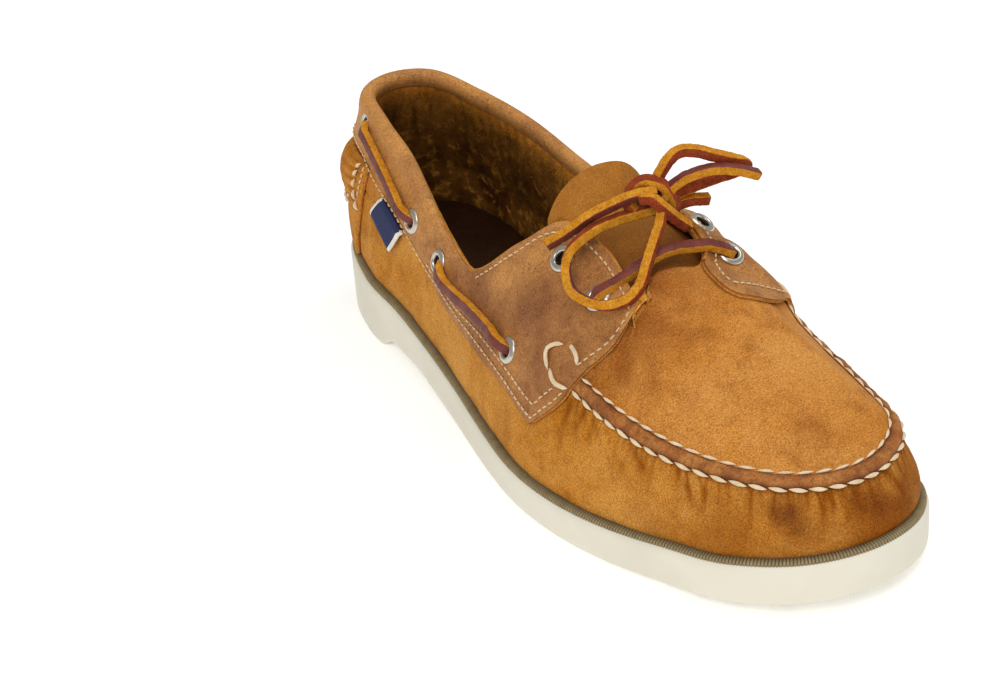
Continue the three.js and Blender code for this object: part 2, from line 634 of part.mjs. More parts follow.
// ---------------------------------------------------------------- laces
function laceGeometry(points) {
  const curve = new THREE.CatmullRomCurve3(points, false, "centripetal");
  const ring = Array.from({ length: LACE_SIDES }, (_, i) => {
    const angle = ((i + 0.5) / LACE_SIDES) * 2 * Math.PI;
    const radius = LACE_WIDTH / 2;
    return new THREE.Vector2(Math.cos(angle) * radius, Math.sin(angle) * radius);
  });
  return new THREE.ExtrudeGeometry(new THREE.Shape(ring), {
    steps: Math.max(4, Math.round(curve.getLength() / LACE_STEP)),
    extrudePath: curve,
    bevelEnabled: false,
  });
}

// A run of lace lying on the quarter from one eyelet to the next.
function sideLaceGeometry(from, to) {
  const a = EYELETS[from];
  const b = EYELETS[to];
  const points = [0, 0.12, 0.3, 0.5, 0.7, 0.88, 1].map((t) => {
    const station = a.station + (b.station - a.station) * t;
    const height = a.height + (b.height - a.height) * t;
    const lift = t === 0 || t === 1 ? LACE_MOUTH : LACE_LYING;
    return offsetPoint(station / STATION_COUNT, height, lift);
  });
  return laceGeometry(points);
}

const vectors = (rows) => rows.map((row) => new THREE.Vector3(...row));

// Middle of the bar that joins the two lowest throat eyelets under the knot.
const LACE_BAR = [[17, 48, 88], [4, 43, 91.5], [-7, 40, 92.5], [-19, 44, 89.5]];
const LACE_KNOT = [[-9, 32, 98], [-4, 35, 101.5], [-5, 40, 103], [-11, 42, 101], [-14, 37, 99]];
const LACE_LOOP_OUTER = [
  [0, 37, 96], [8, 34.5, 95.5], [17, 34, 93], [25, 34, 90], [30, 35, 87], [33, 39, 84.5], [33, 47, 81.5],
  [28, 55, 80.5], [20, 59, 82.5], [12, 57, 87.5], [6, 52, 93], [-1, 45, 98],
];
const LACE_LOOP_INNER = [
  [-13, 38, 107], [-15, 40, 112], [-22, 42, 114.5], [-32, 43, 111.5], [-42, 44, 107.5], [-46, 42, 103],
  [-40, 41, 99.5], [-30, 40, 98], [-20, 39.5, 96.5],
];
const LACE_END_OUTER = [[1, 31, 101.5], [8, 28.5, 98.5], [15, 26.5, 94.5], [24, 23.5, 90], [30.5, 21, 87]];
const LACE_END_INNER = [[-17, 41, 103.5], [-25, 43, 105.5], [-34, 46, 105], [-41, 48, 101], [-44, 49, 98.5]];

function laceBarGeometry() {
  const mouth = ({ station, height }) => offsetPoint(station / STATION_COUNT, height, LACE_MOUTH);
  return laceGeometry([
    mouth(EYELETS.eyelet_lateral_6),
    ...vectors(LACE_BAR),
    mouth(EYELETS.eyelet_medial_6),
  ]);
}

// ---------------------------------------------------------------- the shoe
const FINISH = {
  nubuck: { color: 0xb5772f, roughness: 0.85, metalness: 0 },
  quarter: { color: 0x8a5a38, roughness: 0.75, metalness: 0 },
  rubber: { color: 0xe8e6d8, roughness: 0.7, metalness: 0 },
  ribbed: { color: 0x7a6a4f, roughness: 0.85, metalness: 0 },
  lining: { color: 0x5a3418, roughness: 0.95, metalness: 0 },
  nickel: { color: 0xc9c7c0, roughness: 0.35, metalness: 1 },
  rawhide: { color: 0xb5701c, roughness: 0.8, metalness: 0 },
  cloth: { color: 0x23305c, roughness: 0.9, metalness: 0 },
};

function namedMesh(name, geometry, finish) {
  const mesh = new THREE.Mesh(geometry, new THREE.MeshStandardMaterial(FINISH[finish]));
  mesh.name = name;
  return mesh;
}

const solids = [
  namedMesh("outsole", outsoleGeometry(), "rubber"),
  namedMesh("welt_strip", weltGeometry(), "ribbed"),
  namedMesh("insole", insoleGeometry(), "lining"),
  namedMesh("upper", upperGeometry(), "nubuck"),
  namedMesh("quarter_lateral", lateralQuarterGeometry(), "quarter"),
  namedMesh("quarter_medial", medialQuarterGeometry(), "quarter"),
  namedMesh("tongue", tongueGeometry(), "nubuck"),
  namedMesh("heel_kicker", kickerGeometry(), "nubuck"),
  namedMesh("heel_counter", counterGeometry(), "nubuck"),
  namedMesh("side_tag", tagGeometry(), "cloth"),
  namedMesh("lace_bar", laceBarGeometry(), "rawhide"),
  namedMesh("side_lace_lateral_rear", sideLaceGeometry("eyelet_lateral_1", "eyelet_lateral_2"), "rawhide"),
  namedMesh("side_lace_lateral_front", sideLaceGeometry("eyelet_lateral_3", "eyelet_lateral_4"), "rawhide"),
  namedMesh("side_lace_medial_rear", sideLaceGeometry("eyelet_medial_1", "eyelet_medial_2"), "rawhide"),
  namedMesh("side_lace_medial_front", sideLaceGeometry("eyelet_medial_3", "eyelet_medial_4"), "rawhide"),
  ...Object.entries(EYELETS).map(([name, place]) => namedMesh(name, eyeletGeometry(place), "nickel")),
];
const cords = [
  namedMesh("lace_knot", laceGeometry(vectors(LACE_KNOT)), "rawhide"),
  namedMesh("lace_loop_outer", laceGeometry(vectors(LACE_LOOP_OUTER)), "rawhide"),
  namedMesh("lace_loop_inner", laceGeometry(vectors(LACE_LOOP_INNER)), "rawhide"),
  namedMesh("lace_end_outer", laceGeometry(vectors(LACE_END_OUTER)), "rawhide"),
  namedMesh("lace_end_inner", laceGeometry(vectors(LACE_END_INNER)), "rawhide"),
];

// Stand the shoe with the middle of its box over the origin and its sole on z = 0.
const extent = new THREE.Box3();
solids.forEach((mesh) => extent.expandByObject(mesh));
const middle = extent.getCenter(new THREE.Vector3());
const shoe = new THREE.Group();
shoe.name = "boat_shoe";
[...solids, ...cords].forEach((mesh) => {
  mesh.geometry.translate(-middle.x, -middle.y, -extent.min.z);
  shoe.add(mesh);
});

export default shoe;
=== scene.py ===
"""Right moccasin boat shoe: its leather, thread, lace and rubber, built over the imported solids.

Sizes are in millimetres in the last's own frame until a mesh is made: +X outer side, +Y toe, +Z up.
A place on the upper is given by its station round the last and its height from foot line to collar.
"""

import logging
import math
from dataclasses import dataclass
from enum import Enum

import bpy
import numpy as np
from mathutils import Matrix, Vector


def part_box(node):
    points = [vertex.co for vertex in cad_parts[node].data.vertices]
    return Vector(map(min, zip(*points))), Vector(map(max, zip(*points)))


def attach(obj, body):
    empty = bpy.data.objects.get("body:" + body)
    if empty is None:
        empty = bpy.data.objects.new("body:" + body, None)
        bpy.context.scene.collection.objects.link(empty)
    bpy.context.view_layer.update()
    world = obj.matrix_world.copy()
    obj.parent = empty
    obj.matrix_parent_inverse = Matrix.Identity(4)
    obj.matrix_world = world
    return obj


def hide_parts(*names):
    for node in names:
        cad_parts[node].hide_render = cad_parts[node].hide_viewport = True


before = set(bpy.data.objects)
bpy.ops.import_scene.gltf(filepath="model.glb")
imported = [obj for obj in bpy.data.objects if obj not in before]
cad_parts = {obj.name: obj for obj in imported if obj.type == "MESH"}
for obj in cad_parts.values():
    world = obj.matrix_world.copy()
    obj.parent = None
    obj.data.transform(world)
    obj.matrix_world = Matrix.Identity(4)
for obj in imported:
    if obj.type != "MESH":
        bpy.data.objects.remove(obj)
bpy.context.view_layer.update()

LOG = logging.getLogger("boat_shoe")
RIM_SHARE = 0.4
HANDLE_SHARE = 0.38
UPPER_WALL = 1.9
OVERLAY_OUTER = 2.15
OVERLAY_INNER = 0.6
MM_PER_M = 1000
SPINE_REAR, SPINE_FRONT = -105, 85
HEEL_REAR_EDGE, HEEL_BREAST, ARCH_REAR, ARCH_END, SPRING_START = -97, -88, -60, 10, 50
ARCH_HEIGHT, TOE_SPRING = 5.0, 5.8

COLUMNS = (
    "outX", "outY", "margin", "bulge", "rimX", "rimY", "rimZ",
    "wallLean", "topLean", "edgeX", "edgeY", "edgeZ", "edgeLean",
)
LAST = {
    "heel_back": (0.8, -149.5, 3.2, 2.0, 0.5, -145.5, 56, 8, 8, 0.0, -136.5, 92.0, 20),
    "heel_corner_lat": (23.5, -140.2, 3.2, 2.0, 20.5, -137.5, 56, 8, 8, 13.0, -130.5, 91.5, 20),
    "heel_side_lat": (35.1, -109.8, 3.7, 2.0, 29.0, -110.5, 56, 6, 8, 19.5, -108.0, 88.5, 20),
    "waist_rear_lat": (37.0, -80.0, 4.2, 2.5, 31.0, -80.0, 54, 4, 6, 23.5, -80.0, 82.5, 20),
    "waist_lat": (41.2, -46.0, 3.9, 2.5, 34.0, -46.0, 48, 4, 8, 28.5, -46.0, 65.0, 20),
    "instep_rear_lat": (45.0, -22.0, 3.9, 2.0, 38.0, -22.0, 46, 8, 12, 32.0, -21.0, 62.0, 24),
    "instep_lat": (48.6, -4.0, 3.9, 2.0, 40.0, -4.0, 46, 16, 18, 24.5, 1.5, 78.5, 38),
    "flap_top_lat": (51.6, 12.0, 3.9, 2.0, 41.0, 14.0, 47, 22, 24, 15.0, 15.5, 88.2, 58),
    "flap_mid_lat": (53.5, 24.0, 3.9, 2.0, 41.5, 33.0, 49, 24, 28, 13.0, 38.0, 84.8, 62),
    "flap_front_lat": (54.4, 38.0, 3.9, 2.0, 41.0, 55.0, 51.5, 24, 32, 16.5, 60.5, 76.8, 64),
    "ball_lat": (53.2, 58.0, 3.9, 2.0, 41.0, 68.0, 50.0, 20, 40, 13.6, 61.6, 77.5, 64),
    "toe_side_lat": (48.8, 80.0, 3.6, 2.6, 39.8, 82.5, 48.2, 18, 44, 11.4, 57.6, 79.6, 66),
    "toe_lat": (41.4, 102.4, 3.6, 2.6, 36.0, 100.0, 46.2, 18, 48, 8.4, 54.6, 81.2, 70),
    "toe_corner_lat": (33.0, 124.5, 3.6, 2.6, 26.5, 119.0, 44.0, 18, 52, 5.4, 53.2, 82.0, 70),
    "toe_front_lat": (15.5, 142.5, 3.6, 2.6, 11.5, 134.0, 42.4, 18, 56, 2.4, 53.2, 82.0, 70),
    "toe_tip": (-7.5, 149.5, 3.6, 2.6, -7.5, 140.5, 41.8, 16, 58, -0.2, 53.4, 81.9, 70),
    "toe_front_med": (-29.0, 145.0, 3.6, 2.6, -23.5, 137.0, 42.0, 16, 56, -2.8, 53.8, 81.5, 70),
    "toe_corner_med": (-43.5, 131.0, 3.6, 2.6, -35.5, 126.5, 42.6, 16, 52, -5.4, 54.2, 81.0, 70),
    "toe_med": (-49.8, 107.0, 3.6, 2.6, -40.8, 105.0, 44.4, 16, 48, -8.2, 54.4, 80.2, 68),
    "toe_side_med": (-53.0, 82.0, 3.6, 2.6, -42.3, 84.0, 47.2, 18, 42, -11.2, 53.4, 79.6, 66),
    "ball_med": (-53.2, 60.0, 3.9, 2.0, -42.5, 70.0, 50.0, 16, 30, -14.6, 50.6, 79.6, 66),
    "flap_front_med": (-52.0, 43.0, 3.9, 2.0, -42.5, 60.0, 53.0, 12, 12, -17.6, 46.5, 80.4, 66),
    "flap_mid_med": (-49.8, 28.0, 3.9, 2.0, -43.0, 36.0, 53.0, 8, 6, -20.5, 34.0, 84.4, 52),
    "flap_top_med": (-46.4, 12.0, 3.9, 2.0, -39.0, 14.0, 51.0, 12, 12, -17.5, 14.0, 87.6, 62),
    "instep_med": (-42.0, -4.0, 3.9, 2.0, -35.0, -4.0, 48.0, 12, 14, -23.5, -1.0, 82.5, 38),
    "instep_rear_med": (-37.8, -22.0, 3.9, 2.0, -31.5, -22.0, 50.0, 8, 12, -27.0, -22.0, 76.0, 24),
    "waist_med": (-35.0, -46.0, 4.2, 2.0, -29.5, -46.0, 54.0, 4, 8, -27.0, -46.0, 78.5, 20),
    "waist_rear_med": (-35.3, -80.0, 4.2, 2.0, -29.5, -80.0, 56.0, 4, 6, -26.0, -80.0, 84.0, 20),
    "heel_side_med": (-37.0, -110.0, 3.7, 2.0, -30.0, -110.0, 56.0, 6, 8, -21.0, -108.0, 88.0, 20),
    "heel_corner_med": (-26.3, -139.5, 3.2, 2.0, -22.0, -136.0, 56.0, 8, 8, -13.0, -130.5, 91.5, 20),
}
STATIONS = len(LAST)
SOLE_TOP = ((-150, 29.4), (-105, 24.1), (-60, 19.6), (-10, 14.8), (40, 12.7), (90, 14.6),
            (150, 20.8))

EYELETS = {
    "lateral_1": (1.67, 0.88), "lateral_2": (3.34, 0.65), "lateral_3": (4.02, 0.655),
    "lateral_4": (7.09, 0.415), "lateral_5": (7.46, 0.86), "lateral_6": (8.4, 0.85),
    "medial_1": (28.33, 0.88), "medial_2": (26.66, 0.68), "medial_3": (25.98, 0.655),
    "medial_4": (22.91, 0.43), "medial_5": (22.25, 0.85), "medial_6": (20.85, 0.86),
}
# How far the pulled lace turns a ring, and the leather round it, from the leather's own direction.
EYELET_PULL = {"medial_6": (0.22, 0.32, 0.12), "medial_5": (0.3, 0.3, 0.1)}


def unit(v: np.ndarray) -> np.ndarray:
    """Rows of v scaled to length one."""
    return v / np.maximum(np.linalg.norm(v, axis=-1, keepdims=True), 1e-9)


def smooth(a: float, b: float, x: np.ndarray) -> np.ndarray:
    """Smooth step from 0 at a to 1 at b."""
    t = np.clip((np.asarray(x, float) - a) / (b - a), 0, 1)
    return t * t * (3 - 2 * t)


def hermite(xs: np.ndarray, ys: np.ndarray, slope: np.ndarray, x: np.ndarray) -> np.ndarray:
    """Cubic through the points xs, ys with the given slopes, at x.

    Args:
        xs: the table's places, rising.
        ys: its values.
        slope: the slope at each place.
        x: where to read it.

    Returns:
        The curve's values at x.
    """
    i = np.clip(np.searchsorted(xs, x) - 1, 0, len(xs) - 2)
    h = xs[i + 1] - xs[i]
    t = (x - xs[i]) / h
    return ((2 * t**3 - 3 * t**2 + 1) * ys[i] + (t**3 - 2 * t**2 + t) * h * slope[i]
            + (3 * t**2 - 2 * t**3) * ys[i + 1] + (t**3 - t**2) * h * slope[i + 1])


class LastForm:
    """The last's outer face by share round it u (0-1) and height v (0 foot, 1 collar)."""

    def __init__(self) -> None:
        """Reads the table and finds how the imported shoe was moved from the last's own frame."""
        self.rows = np.array(list(LAST.values()), float)
        self.shift = np.zeros(3)
        u = np.arange(2 * STATIONS) / (2 * STATIONS)
        low = np.array(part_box("outsole")[0]) * MM_PER_M
        edge = self.outline(u)
        self.shift = np.array([low[0] - edge[:, 0].min(), low[1] - edge[:, 1].min(), 0])

    def curve(self, names: tuple, u: np.ndarray) -> np.ndarray:
        """Closed centripetal curve through the named columns, at shares u.

        Args:
            names: the columns to read.
            u: shares round the last, 0 to 1.

        Returns:
            One row of values for each share; missing columns are 0.
        """
        p = np.zeros((STATIONS, 3))
        for i, name in enumerate(names):
            p[:, i] = self.rows[:, COLUMNS.index(name)]
        t = (np.asarray(u, float) % 1.0) * STATIONS
        i = np.floor(t).astype(int) % STATIONS
        w = (t - np.floor(t))[:, None]
        q = [p[(i + k) % STATIONS] for k in (-1, 0, 1, 2)]
        d = [np.maximum(np.sum((a - b) ** 2, 1) ** 0.25, 1e-4)[:, None] for a, b in zip(q, q[1:])]
        t1 = ((q[1] - q[0]) / d[0] - (q[2] - q[0]) / (d[0] + d[1]) + (q[2] - q[1]) / d[1]) * d[1]
        t2 = ((q[2] - q[1]) / d[1] - (q[3] - q[1]) / (d[1] + d[2]) + (q[3] - q[2]) / d[2]) * d[1]
        return q[1] + t1 * w + (3 * (q[2] - q[1]) - 2 * t1
                                - t2) * w**2 + (2 * (q[1] - q[2]) + t1 + t2) * w**3

    def outline(self, u: np.ndarray, inset: float = 0.0) -> np.ndarray:
        """The sole's edge seen from above, moved inwards by inset mm.

        Args:
            u: shares round the last, 0 to 1.
            inset: mm inwards, one number or one for each share.

        Returns:
            X and y of each point.
        """
        p = self.curve(("outX", "outY"), u)[:, :2]
        along = unit(self.curve(("outX", "outY"), u + 1e-3)[:, :2]
                     - self.curve(("outX", "outY"), u - 1e-3)[:, :2])
        return p + np.c_[-along[:, 1], along[:, 0]] * np.asarray(inset)[..., None]

    @staticmethod
    def sole_top(y: np.ndarray) -> np.ndarray:
        """Height of the sole's top edge at y.

        Args:
            y: distances towards the toe in mm.

        Returns:
            Heights in mm.
        """
        table = np.array(SOLE_TOP, float)
        xs, zs = table.T
        k = np.arange(len(table))
        after, before = np.minimum(k + 1, k[-1]), np.maximum(k - 1, 0)
        slope = (zs[after] - zs[before]) / (xs[after] - xs[before])
        y = np.asarray(y, float)
        return hermite(xs, zs, slope, y)

    @staticmethod
    def sole_bottom(y: np.ndarray) -> np.ndarray:
        """Height of the tread at y: flat heel, breast, arch, flat forefoot, toe spring.

        Args:
            y: distances towards the toe in mm.

        Returns:
            Heights in mm.
        """
        y = np.asarray(y, float)
        arch = ARCH_HEIGHT * ((ARCH_END - np.maximum(y, ARCH_REAR)) / (ARCH_END - ARCH_REAR)) ** 2
        breast = ARCH_HEIGHT * np.clip((y - HEEL_REAR_EDGE) / (HEEL_BREAST - HEEL_REAR_EDGE), 0, 1)
        z = np.where(y < HEEL_BREAST, breast, np.where(y < ARCH_END, arch, 0.0))
        return np.where(y > SPRING_START, TOE_SPRING * ((y - SPRING_START) / 100) ** 2, z)

    def surface(self, u: np.ndarray, v: np.ndarray) -> np.ndarray:
        """Points of the outer face.

        Args:
            u: shares round the last, 0 to 1.
            v: heights, 0 at the foot and 1 at the collar.

        Returns:
            Points, in the shape that u and v share.
        """
        u, v = np.broadcast_arrays(np.asarray(u, float), np.asarray(v, float))
        shape, u, v = u.shape, u.ravel(), v.ravel()
        foot = self.outline(u, self.curve(("margin",), u)[:, 0])
        foot = np.c_[foot, self.sole_top(foot[:, 1]) + 0.3]
        rim = self.curve(("rimX", "rimY", "rimZ"), u)
        edge = self.curve(("edgeX", "edgeY", "edgeZ"), u)
        lean = np.radians(self.curve(("wallLean", "topLean", "edgeLean"), u))
        bulge = self.curve(("bulge",), u)[:, :1]
        inward = unit(np.c_[-foot[:, 0], np.clip(foot[:, 1], SPINE_REAR, SPINE_FRONT) - foot[:, 1],
                            0 * u])
        high = np.array([0, 0, 1.0])

        def tilt(a: np.ndarray) -> np.ndarray:
            """Upward directions leant inwards by the angles a."""
            return inward * np.sin(a)[:, None] + high * np.cos(a)[:, None]

        def bend(a: np.ndarray, b: np.ndarray, c: np.ndarray, d: np.ndarray,
                 t: np.ndarray) -> np.ndarray:
            """Cubic from a to d with handles b and c."""
            return (1 - t) ** 3 * a + 3 * (1 - t) ** 2 * t * b + 3 * (1 - t) * t * t * c + t**3 * d

        hw = np.linalg.norm(rim - foot, axis=1)[:, None] * HANDLE_SHARE
        ht = np.linalg.norm(edge - rim, axis=1)[:, None] * HANDLE_SHARE
        wall = bend(foot, foot + high * hw - inward * bulge, rim - tilt(lean[:, 0]) * hw, rim,
                    np.clip(v / RIM_SHARE, 0, 1)[:, None])
        top = bend(rim, rim + tilt(lean[:, 1]) * ht, edge - tilt(lean[:, 2]) * ht, edge,
                   np.clip((v - RIM_SHARE) / (1 - RIM_SHARE), 0, 1)[:, None])
        return np.where((v < RIM_SHARE)[:, None], wall, top).reshape(shape + (3,))

    def normal(self, u: np.ndarray, v: np.ndarray) -> np.ndarray:
        """Outward normals of the outer face.

        Args:
            u: shares round the last, 0 to 1.
            v: heights, 0 at the foot and 1 at the collar.

        Returns:
            Unit vectors.
        """
        u, v = np.broadcast_arrays(np.asarray(u, float), np.asarray(v, float))
        along = self.surface(u + 2e-3, v) - self.surface(u - 2e-3, v)
        up = self.surface(u, np.clip(v + 0.02, 0, 1)) - self.surface(u, np.clip(v - 0.02, 0, 1))
        return unit(np.cross(along, up))

    def offset(self, u: np.ndarray, v: np.ndarray, d: np.ndarray) -> np.ndarray:
        """Points lifted off the face by d mm."""
        return self.surface(u, v) + self.normal(u, v) * np.asarray(d, float)[..., None]

    def eyelet(self, name: str) -> tuple:
        """An eyelet's middle on the face, and the way its ring looks.

        Args:
            name: the eyelet's name in EYELETS.

        Returns:
            The middle, and a unit vector.
        """
        u, v = EYELETS[name][0] / STATIONS, EYELETS[name][1]
        pull = np.array(EYELET_PULL.get(name, (0, 0, 0)))
        return self.surface([u], [v])[0], unit(self.normal([u], [v])[0] + pull)

    def height_at(self, u: np.ndarray, start: float, mm: np.ndarray) -> np.ndarray:
        """The height v reached from `start` by going mm up the face (down if negative).

        Args:
            u: shares round the last, 0 to 1.
            start: height to start from.
            mm: way to go up the face, negative for down.

        Returns:
            Heights.
        """
        u, mm = np.broadcast_arrays(np.asarray(u, float), np.asarray(mm, float))
        v = np.full(u.shape, float(start))
        sign = np.where(mm < 0, -1.0, 1.0)
        for _ in range(8):
            probe = np.clip(v + 2e-3 * sign, 0, 1)
            speed = np.linalg.norm(self.surface(u, probe) - self.surface(u, v), axis=-1) / 2e-3
            v = np.clip(v + mm / 8 / np.maximum(speed, 1.0), 0, 1)
        return v


def spline(points: np.ndarray, per_point: int, fewest: int) -> np.ndarray:
    """Dense smooth line through points.

    Args:
        points: the points to pass through, with any values that ride along.
        per_point: samples for each point.
        fewest: smallest number of samples.

    Returns:
        The samples.
    """
    t = np.linspace(0, len(points) - 1, max(per_point * len(points), fewest))
    i = np.clip(np.floor(t).astype(int), 0, len(points) - 2)
    w = (t - i)[:, None]
    q = [points[np.clip(i + k, 0, len(points) - 1)] for k in (-1, 0, 1, 2)]
    return 0.5 * (2 * q[1] + (q[2] - q[0]) * w + (2 * q[0] - 5 * q[1] + 4 * q[2] - q[3]) * w**2
                  + (3 * q[1] - q[0] - 3 * q[2] + q[3]) * w**3)


def run_length(points: np.ndarray) -> np.ndarray:
    """Distance along a line at each of its points."""
    return np.r_[0, np.cumsum(np.linalg.norm(np.diff(points, axis=0), axis=1))]


def grid_quads(rows: int, cols: int, wrap_cols: bool = False, wrap_rows: bool = False) -> np.ndarray:
    """Quads of a grid of rows x cols points, optionally closed either way.

    Args:
        rows: rows of points.
        cols: columns of points.
        wrap_cols: whether the last column joins the first.
        wrap_rows: whether the last row joins the first.

    Returns:
        Four point numbers for each face.
    """
    r = np.arange(rows if wrap_rows else rows - 1)[:, None]
    c = np.arange(cols if wrap_cols else cols - 1)[None, :]
    a, b = r * cols + c, r * cols + (c + 1) % cols
    n = ((r + 1) % rows) * cols
    return np.stack([a, b, n + (c + 1) % cols, n + c], -1).reshape(-1, 4)


def sheet_rim(rows: int, cols: int) -> np.ndarray:
    """Rows and columns of a grid's rim, once round."""
    return np.array([(0, j) for j in range(cols - 1)] + [(i, cols - 1) for i in range(rows - 1)]
                    + [(rows - 1, j) for j in range(cols - 1, 0, -1)]
                    + [(i, 0) for i in range(rows - 1, 0, -1)])


def sheet_faces(rows: int, cols: int) -> list:
    """Faces of a closed sheet: the outer grid, the inner grid that follows it, and the rim between.

    Args:
        rows: rows of points.
        cols: columns of points.

    Returns:
        Three groups of faces.
    """
    grid = grid_quads(rows, cols)
    ids = sheet_rim(rows, cols) @ [cols, 1]
    after = np.roll(ids, -1)
    return [grid, grid[:, ::-1] + rows * cols,
            np.stack([after, ids, ids + rows * cols, after + rows * cols], -1)]


@dataclass
class Shell:
    """Points and faces gathered for one mesh, with a finish number per face and tones per point."""

    points: np.ndarray
    faces: list
    finish_of: list
    tones: dict

    def build(self, name: str, materials: list, form: LastForm, *nodes: str,
              slot: str = "") -> bpy.types.Object:
        """Makes the object, lets it ride on the shoe and hides the solids it stands for.

        Args:
            name: the piece's name.
            materials: materials in the order of the finish numbers.
            form: the last's form.
            slot: not used.
            *nodes: the solids that the piece stands for.

        Returns:
            The new object.
        """
        mesh = bpy.data.meshes.new(name)
        loops = np.concatenate([f.ravel() for f in self.faces]).astype(np.int32)
        sizes = np.concatenate([np.full(len(f), f.shape[1]) for f in self.faces])
        mesh.vertices.add(len(self.points))
        metres = (self.points + form.shift) / MM_PER_M
        mesh.vertices.foreach_set("co", metres.astype(np.float32).ravel())
        mesh.loops.add(len(loops))
        mesh.loops.foreach_set("vertex_index", loops)
        mesh.polygons.add(len(sizes))
        mesh.polygons.foreach_set("loop_start", np.r_[0, np.cumsum(sizes)[:-1]].astype(np.int32))
        numbers = np.concatenate([np.broadcast_to(m, len(f)) for f,
                                  m in zip(self.faces, self.finish_of)])
        mesh.polygons.foreach_set("material_index", numbers.astype(np.int32))
        mesh.update(calc_edges=True)
        mesh.validate()
        mesh.shade_smooth()
        for key, values in self.tones.items():
            mesh.attributes.new(key, "FLOAT",
                                "POINT").data.foreach_set("value", values.astype(np.float32).ravel())
        for material in materials:
            mesh.materials.append(material)
        obj = bpy.data.objects.new(name, mesh)
        bpy.context.scene.collection.objects.link(obj)
        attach(obj, "root")
        if nodes:
            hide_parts(*nodes)
        LOG.info("%s: %d faces", name, len(sizes))
        return obj


def hoop(rows: np.ndarray, tones: dict, wrap_rows: bool = True) -> Shell:
    """Rows of points that each run once round, as one shell.

    Args:
        rows: the points, one row for each time round.
        tones: tones of the points.
        wrap_rows: whether the last row joins the first.

    Returns:
        The shell.
    """
    r, c = rows.shape[:2]
    return Shell(rows.reshape(-1, 3), [grid_quads(r, c, True, wrap_rows)], [0], tones)


def sheet(outer: np.ndarray, inner: np.ndarray, finish_of: list, tones: dict) -> Shell:
    """A closed sheet between two grids of points.

    Args:
        outer: its outer face.
        inner: its inner face.
        finish_of: finish numbers of outer face, inner face and rim.
        tones: tones of the points.

    Returns:
        The shell.
    """
    r, c = outer.shape[:2]
    both = np.concatenate([outer.reshape(-1, 3), inner.reshape(-1, 3)])
    return Shell(both, sheet_faces(r, c), finish_of, tones)


def joined(shells: list) -> Shell:
    """Several shells as one.

    Args:
        shells: the shells, in order.

    Returns:
        One shell with all their points, faces and tones.
    """
    start, faces, finish_of = 0, [], []
    for s in shells:
        faces += [f + start for f in s.faces]
        finish_of += s.finish_of
        start += len(s.points)
    keys = {key for shell in shells for key in shell.tones}
    tones = {key: np.concatenate([s.tones.get(key, np.zeros(len(s.points))) for s in shells])
             for key in sorted(keys)}
    return Shell(np.concatenate([s.points for s in shells]), faces, finish_of, tones)


def soft_noise(points: np.ndarray, size: float, seed: int) -> np.ndarray:
    """Smooth noise of about the given size in mm, from -1 to 1.

    Args:
        points: points in mm.
        size: size of the waves in mm.
        seed: which pattern.

    Returns:
        One value for each point.
    """
    rng = np.random.default_rng(seed)
    total = np.zeros(points.shape[:-1])
    for _ in range(9):
        wave = unit(rng.normal(size=3)) * 2 * np.pi / (size * rng.uniform(0.8, 1.9))
        total += np.sin(points @ wave + rng.uniform(0, 6.28))
    return total / 4.0


class SurfacePath:
    """A line drawn on the upper through (station, height) places, lifted off it."""

    def __init__(self, form: LastForm, places: list, lift: float) -> None:
        """Draws the line through the places.

        Args:
            form: the last's form.
            places: (station, height) pairs.
            lift: mm off the face.
        """
        line = spline(np.array(places, float), 24, 60)
        u, v = line[:, 0] / STATIONS, np.clip(line[:, 1], 0, 1)
        self.normals = form.normal(u, v)
        self.points = form.surface(u, v) + self.normals * lift
        self.along = run_length(self.points)

    @classmethod
    def at_mm(cls, form: LastForm, first: float, last: float, base: float, mm: float,
              lift: float) -> "SurfacePath":
        """A line that runs mm above the height `base`, between two stations.

        Args:
            form: the last's form.
            first: first station.
            last: last station.
            base: height to measure from.
            mm: mm up the face from it.
            lift: mm off the face.

        Returns:
            The line.
        """
        stations = np.linspace(first, last, int(abs(last - first) * 12) + 2)
        heights = form.height_at(stations / STATIONS, base, mm)
        return cls(form, list(zip(stations, heights)), lift)

    def at(self, s: np.ndarray) -> tuple:
        """Point, normal and direction at distances s along the line.

        Args:
            s: distances in mm.

        Returns:
            Three arrays of vectors.
        """
        def pick(values: np.ndarray, where: np.ndarray) -> np.ndarray:
            """The values at distances `where`."""
            return np.stack([np.interp(where, self.along, values[:, k]) for k in range(3)], -1)

        step = 0.4
        ahead, behind = pick(self.points, s + step), pick(self.points, s - step)
        return pick(self.points, s), unit(pick(self.normals, s)), unit(ahead - behind)


class StitchForm(Enum):
    """How a stitch lies: a short fine machine stitch, or a fat hand stitch with pinched ends."""

    MACHINE = 0.35
    HAND = 0.9


